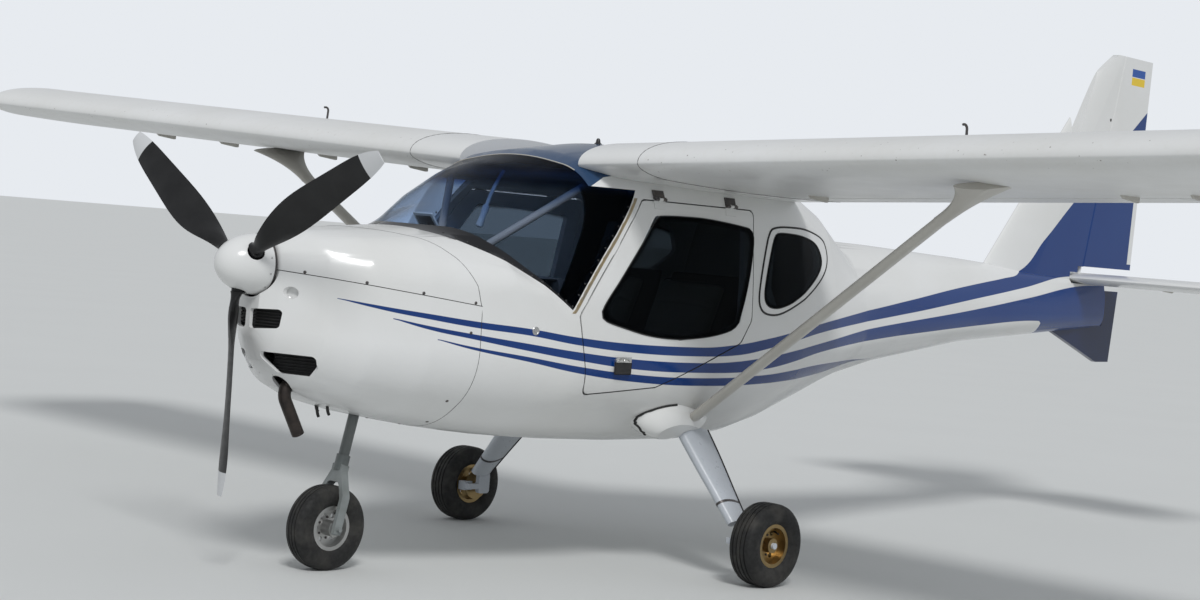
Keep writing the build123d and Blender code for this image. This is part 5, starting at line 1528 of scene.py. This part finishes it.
def buildHingeBrackets():
    # small fixed arms under the rear edge carry the flaps and ailerons
    look = hingeLook
    for name, side in sides.items():
        tree = treeOf(name + "_wing")
        parts = []
        for y in look["ys"]:
            front, rear = (underneath(tree, x, side * y, 1.2)[0] for x in look["ends"])
            if front is None or rear is None:
                continue
            arm = [(front.x, front.z + 0.002), (front.x + 0.02, front.z - 0.012), (rear.x, rear.z - 0.022),
                   (rear.x + 0.012, rear.z - 0.020), (rear.x + 0.012, rear.z + 0.001)]
            parts.append(prism(arm, side * y - look["half"], side * y + look["half"], 0.0015, 1))
        finishPiece(joinAll(parts), name + "_wing_hinge_arms", "fuselage", "strut paint", 30)


buildHingeBrackets()
print("wing fittings made")

# cabin: instruments, sticks, pedals and levers
bezelShape = ((0.84, 0.0005), (1, 0.0005), (1.02, 0.004), (0.99, 0.0075), (0.90, 0.008), (0.85, 0.006))
knobShape = ((0, 0), (0.008, 0), (0.0075, 0.012), (0.006, 0.014), (0, 0.0145))
switchShape = ((0, 0), (0.006, 0), (0.006, 0.003), (0.002, 0.004), (0.0026, 0.014), (0, 0.0155))
panelLook = dict(
    faceX=-1.931, dialZ=1.095, ticks=24, turn=0.7,
    dials=(((-0.400, -0.300, -0.195, -0.093), 0.040), ((0.235, 0.305, 0.375), 0.029)),
    radioY=(-0.030, 0.150), radioZ=((1.118, 1.165), (1.062, 1.108)), radioDepth=0.012,
    knobY=(-0.018, 0.138), knobZ=(1.085, 1.141),
    switches=9, switchY=-0.36, switchStep=0.045, switchZ=1.022,
)


def dialFace(radius):
    # a bezel round a well, with tick marks and a needle, facing up
    bezel = lathe([(radius * wide, high) for wide, high in bezelShape], steps=36)
    well = lathe([(0, 0), (radius * 0.86, 0), (radius * 0.86, 0.0015), (0, 0.0015)], steps=36)
    marks = []
    half = radius * 0.014
    for turn in range(panelLook["ticks"]):
        long = 0.16 if turn % 3 == 0 else 0.09
        tick = block((radius * (0.80 - long), -half, 0.0014), (radius * 0.80, half, 0.0022), 0.0002, 1)
        tick.matrix_world = Matrix.Rotation(math.tau * turn / panelLook["ticks"], 4, "Z")
        marks.append(tick)
    half = radius * 0.025
    marks.append(block((-radius * 0.12, -half, 0.0024), (radius * 0.60, half, 0.0032), 0.0003, 1))
    return joinAll([bezel, well]), joinAll(marks)


def buildPanel():
    look = panelLook
    rims, marks = [], []
    for spots, radius in look["dials"]:
        for number, y in enumerate(spots):
            rim, mark = dialFace(radius)
            place = turnTo((look["faceX"] + 0.0002, y, look["dialZ"]), xAxis)
            place = place @ Matrix.Rotation(look["turn"] * number, 4, "Z")
            rim.matrix_world = mark.matrix_world = place
            rims.append(rim)
            marks.append(mark)
    finishPiece(joinAll(rims), "panel_dials", "fuselage", "black moulding", 30)
    finishPiece(joinAll(marks), "dial_marks", "fuselage", "dial white", 30)
    x, (y0, y1) = look["faceX"], look["radioY"]
    front = x + look["radioDepth"]
    boxes = [block((x, y0, low), (front, y1, high), 0.003, 2) for low, high in look["radioZ"]]
    for z in look["knobZ"]:
        boxes += [lathe(knobShape, turnTo((front, y, z), xAxis), 18) for y in look["knobY"]]
    for number in range(look["switches"]):
        y = look["switchY"] + look["switchStep"] * number
        boxes.append(lathe(switchShape, turnTo((x, y, look["switchZ"]), (1, 0, 0.4)), 12))
    finishPiece(joinAll(boxes), "radio_and_switches", "fuselage", "black moulding", 30)


bootShape = ((0, 0), (0.034, 0), (0.032, 0.006), (0.018, 0.012), (0.013, 0.040), (0, 0.040))
gripShape = ((0, 0), (0.014, 0), (0.018, 0.010), (0.0155, 0.030), (0.0185, 0.055), (0.0160, 0.085),
             (0.0195, 0.105), (0.014, 0.118), (0, 0.120))
stickLook = dict(line=((-1.640, 0.240, 0.593), (-1.650, 0.240, 0.78), (-1.600, 0.240, 0.935)), radius=0.010)


def buildSticks():
    tubes, grips = [], []
    for side in sides.values():
        foot, bend, top = (Vector((x, side * y, z)) for x, y, z in stickLook["line"])
        tubes.append(pipe([foot, bend, top], stickLook["radius"], smooth=True))
        tubes.append(lathe(bootShape, Matrix.Translation(foot), 24))
        way = (top - bend).normalized()
        grips.append(lathe(gripShape, turnTo(top - way * 0.01, way), 24))
    finishPiece(joinAll(tubes), "control_sticks", "fuselage", "beige enamel", 40)
    finishPiece(joinAll(grips), "stick_grips", "fuselage", "black rubber", 40)


pedalLook = dict(x=-2.085, ys=(0.145, 0.285), half=0.036, low=0.640, high=0.720, floorZ=0.5925,
                 stalkTop=0.660, stalk=0.008, barZ=0.694, barHalf=0.030, bar=0.004)


def buildPedals():
    look = pedalLook
    x, half, reach = look["x"], look["half"], look["barHalf"]
    parts = []
    for side in sides.values():
        for y in (side * away for away in look["ys"]):
            parts.append(block((x, y - half, look["low"]), (x + 0.010, y + half, look["high"]), 0.004, 2))
            stalk = [(x + 0.005, y, look["floorZ"]), (x + 0.003, y, look["stalkTop"])]
            parts.append(pipe(stalk, look["stalk"]))
            bar = [(x + 0.012, y - reach, look["barZ"]), (x + 0.012, y + reach, look["barZ"])]
            parts.append(pipe(bar, look["bar"]))
    finishPiece(joinAll(parts), "rudder_pedals", "fuselage", "dark steel", 40)


leverGrip = ((0, 0), (0.012, 0), (0.015, 0.008), (0.0125, 0.05), (0.0155, 0.085), (0.011, 0.094), (0, 0.095))
leverLook = dict(line=((-1.795, 0.02, 1.600), (-1.850, 0.02, 1.530), (-1.880, 0.02, 1.440)), radius=0.008,
                 grip=(-1.876, 0.02, 1.452), down=(-0.35, 0, -0.94))


def buildOverheadLever():
    # a lever with a pale grip hangs under the roof
    rod = pipe(leverLook["line"], leverLook["radius"], smooth=True)
    grip = lathe(leverGrip, turnTo(leverLook["grip"], leverLook["down"]), 22)
    finishPiece(joinAll([rod, grip]), "overhead_lever", "fuselage", "dial white", 40)


footShape = ((0, 0), (0.026, 0), (0.024, 0.005), (0.010, 0.010), (0, 0.011))
compassShape = ((0, 0), (0.022, 0), (0.020, 0.006), (0.012, 0.012), (0.012, 0.020), (0.030, 0.032),
                (0.034, 0.048), (0.030, 0.064), (0.018, 0.072), (0, 0.074))
shelfLook = dict(middle=(-2.045, 0.190, 1.372), size=(0.118, 0.076), rim=0.012, tilt=38, shelfZ=1.1902,
                 stalk=0.006, compass=(-2.09, 0.0))


def buildShelfScreen():
    # a pale-framed screen stands on a stalk above the panel
    look = shelfLook
    x, y, z = look["middle"]
    wide, tall = (v / 2 for v in look["size"])
    tilt = Matrix.Translation((x, y, z)) @ Matrix.Rotation(math.radians(-look["tilt"]), 4, "Y")
    rim = block((-0.005, -wide, -tall), (0.005, wide, tall), 0.003, 3)
    rim.matrix_world = tilt
    finishPiece(rim, "shelf_screen_frame", "fuselage", "dial white", 30)
    wide, tall = wide - look["rim"], tall - look["rim"]
    glass = block((-0.007, -wide, -tall), (0.007, wide, tall), 0.0015, 2)
    glass.matrix_world = tilt
    rear = x - 0.004
    line = [(rear, y, look["shelfZ"] + 0.0003), (rear, y, 1.28), (x + 0.006, y, z - 0.012)]
    stalk = pipe(line, look["stalk"], smooth=True)
    foot = lathe(footShape, Matrix.Translation((rear, y, look["shelfZ"])), 24)
    finishPiece(joinAll([glass, stalk, foot]), "shelf_screen", "fuselage", "black moulding", 30)
    # a round compass sits at the middle of the shelf
    bowl = lathe(compassShape, Matrix.Translation((*look["compass"], look["shelfZ"])), 32)
    finishPiece(bowl, "shelf_compass", "fuselage", "black moulding", 40)


buildPanel()
buildSticks()
buildPedals()
buildOverheadLever()
buildShelfScreen()
print("cabin made")

# tail: a bolt on each side of the fin, and hinge arms under the tailplane
boltShape = ((0, -0.002), (0.009, -0.002), (0.009, 0.001), (0.006, 0.0026), (0, 0.003))
tailLook = dict(bolt=(2.759, 2.247), armX=2.79, armY=(0.46, 1.02), armHalf=0.004,
                arm=((2.70, 0.002), (2.73, -0.010), (2.825, -0.016), (2.835, -0.010), (2.835, 0.001)))


def buildTailFittings():
    look = tailLook
    fin, tailplane = treeOf("fin"), treeOf("tailplane")
    places = standOn([onSide(fin, *look["bolt"], side) for side in sides.values()])
    bolts = [lathe(boltShape, place, 20) for place in places]
    finishPiece(joinAll(bolts), "fin_bolts", "fuselage", "dark steel", 40)
    arms = []
    for side in sides.values():
        for y in (side * away for away in look["armY"]):
            hit, _ = underneath(tailplane, look["armX"], y, 1.0)
            if hit:
                arm = [(x, hit.z + rise) for x, rise in look["arm"]]
                arms.append(prism(arm, y - look["armHalf"], y + look["armHalf"], 0.001, 1))
    finishPiece(joinAll(arms), "elevator_hinge_arms", "fuselage", "strut paint", 30)


buildTailFittings()
print("tail fittings made")

# floor, light and camera

stageLook = dict(floorSize=600, floor=(0.66, 0.67, 0.66), sky=(0.80, 0.83, 0.87), ambient=0.58,
                 sunPower=1.6, sunSoftness=14, sunFrom=(-0.55, -0.75, 0.95))


def buildStage():
    deselectAll()
    bpy.ops.mesh.primitive_plane_add(size=stageLook["floorSize"])
    floor = bpy.context.object
    floor.name = "floor"
    paint = Paint("studio floor", "white_composite")
    tone = stageLook["floor"]
    paint.colour(paint.mix(paint.noise(0.7, 4), tone, tuple(v * 0.96 for v in tone)))
    paint.rough(0.9)
    floor.data.materials.append(finishes["studio floor"])
    world = bpy.context.scene.world or bpy.data.worlds.new("world")
    bpy.context.scene.world = world
    world.use_nodes = True
    tree = world.node_tree
    sky = tree.nodes["Background"]
    sky.inputs["Color"].default_value = (*stageLook["sky"], 1)
    rays = tree.nodes.new("ShaderNodeLightPath")
    power = tree.nodes.new("ShaderNodeMapRange")
    power.inputs["To Min"].default_value = stageLook["ambient"]
    power.inputs["To Max"].default_value = 1
    seen = tree.nodes.new("ShaderNodeMath")
    seen.operation = "MAXIMUM"
    tree.links.new(rays.outputs["Is Camera Ray"], seen.inputs[0])
    tree.links.new(rays.outputs["Is Transmission Ray"], seen.inputs[1])
    tree.links.new(seen.outputs[0], power.inputs["Value"])
    tree.links.new(power.outputs[0], sky.inputs["Strength"])
    bpy.ops.object.light_add(type="SUN")
    sun = bpy.context.object
    sun.name = "soft sun"
    sun.data.energy = stageLook["sunPower"]
    sun.data.angle = math.radians(stageLook["sunSoftness"])
    sun.rotation_mode = "QUATERNION"
    sun.rotation_quaternion = Vector(stageLook["sunFrom"]).to_track_quat("Z", "Y")


cameraLook = dict(place=(-7.818, -6.442, 1.365), yaw=45.817, pitch=-1.695, roll=4.698, lens=64.43)


def buildCamera():
    yaw, pitch, roll = (math.radians(cameraLook[word]) for word in ("yaw", "pitch", "roll"))
    ahead = Vector((math.sin(yaw) * math.cos(pitch), math.cos(yaw) * math.cos(pitch), math.sin(pitch)))
    right = Vector((math.cos(yaw), -math.sin(yaw), 0))
    up = right.cross(ahead)
    rolledRight = right * math.cos(roll) + up * math.sin(roll)
    rolledUp = up * math.cos(roll) - right * math.sin(roll)
    bpy.ops.object.camera_add(location=cameraLook["place"])
    camera = bpy.context.object
    camera.data.sensor_width = 36
    camera.data.lens = cameraLook["lens"]
    camera.data.clip_end = 2000
    turn = Matrix((rolledRight, rolledUp, -ahead)).transposed().to_4x4()
    camera.matrix_world = Matrix.Translation(cameraLook["place"]) @ turn
    bpy.context.scene.camera = camera


buildStage()
buildCamera()
print("stage, light and camera made")
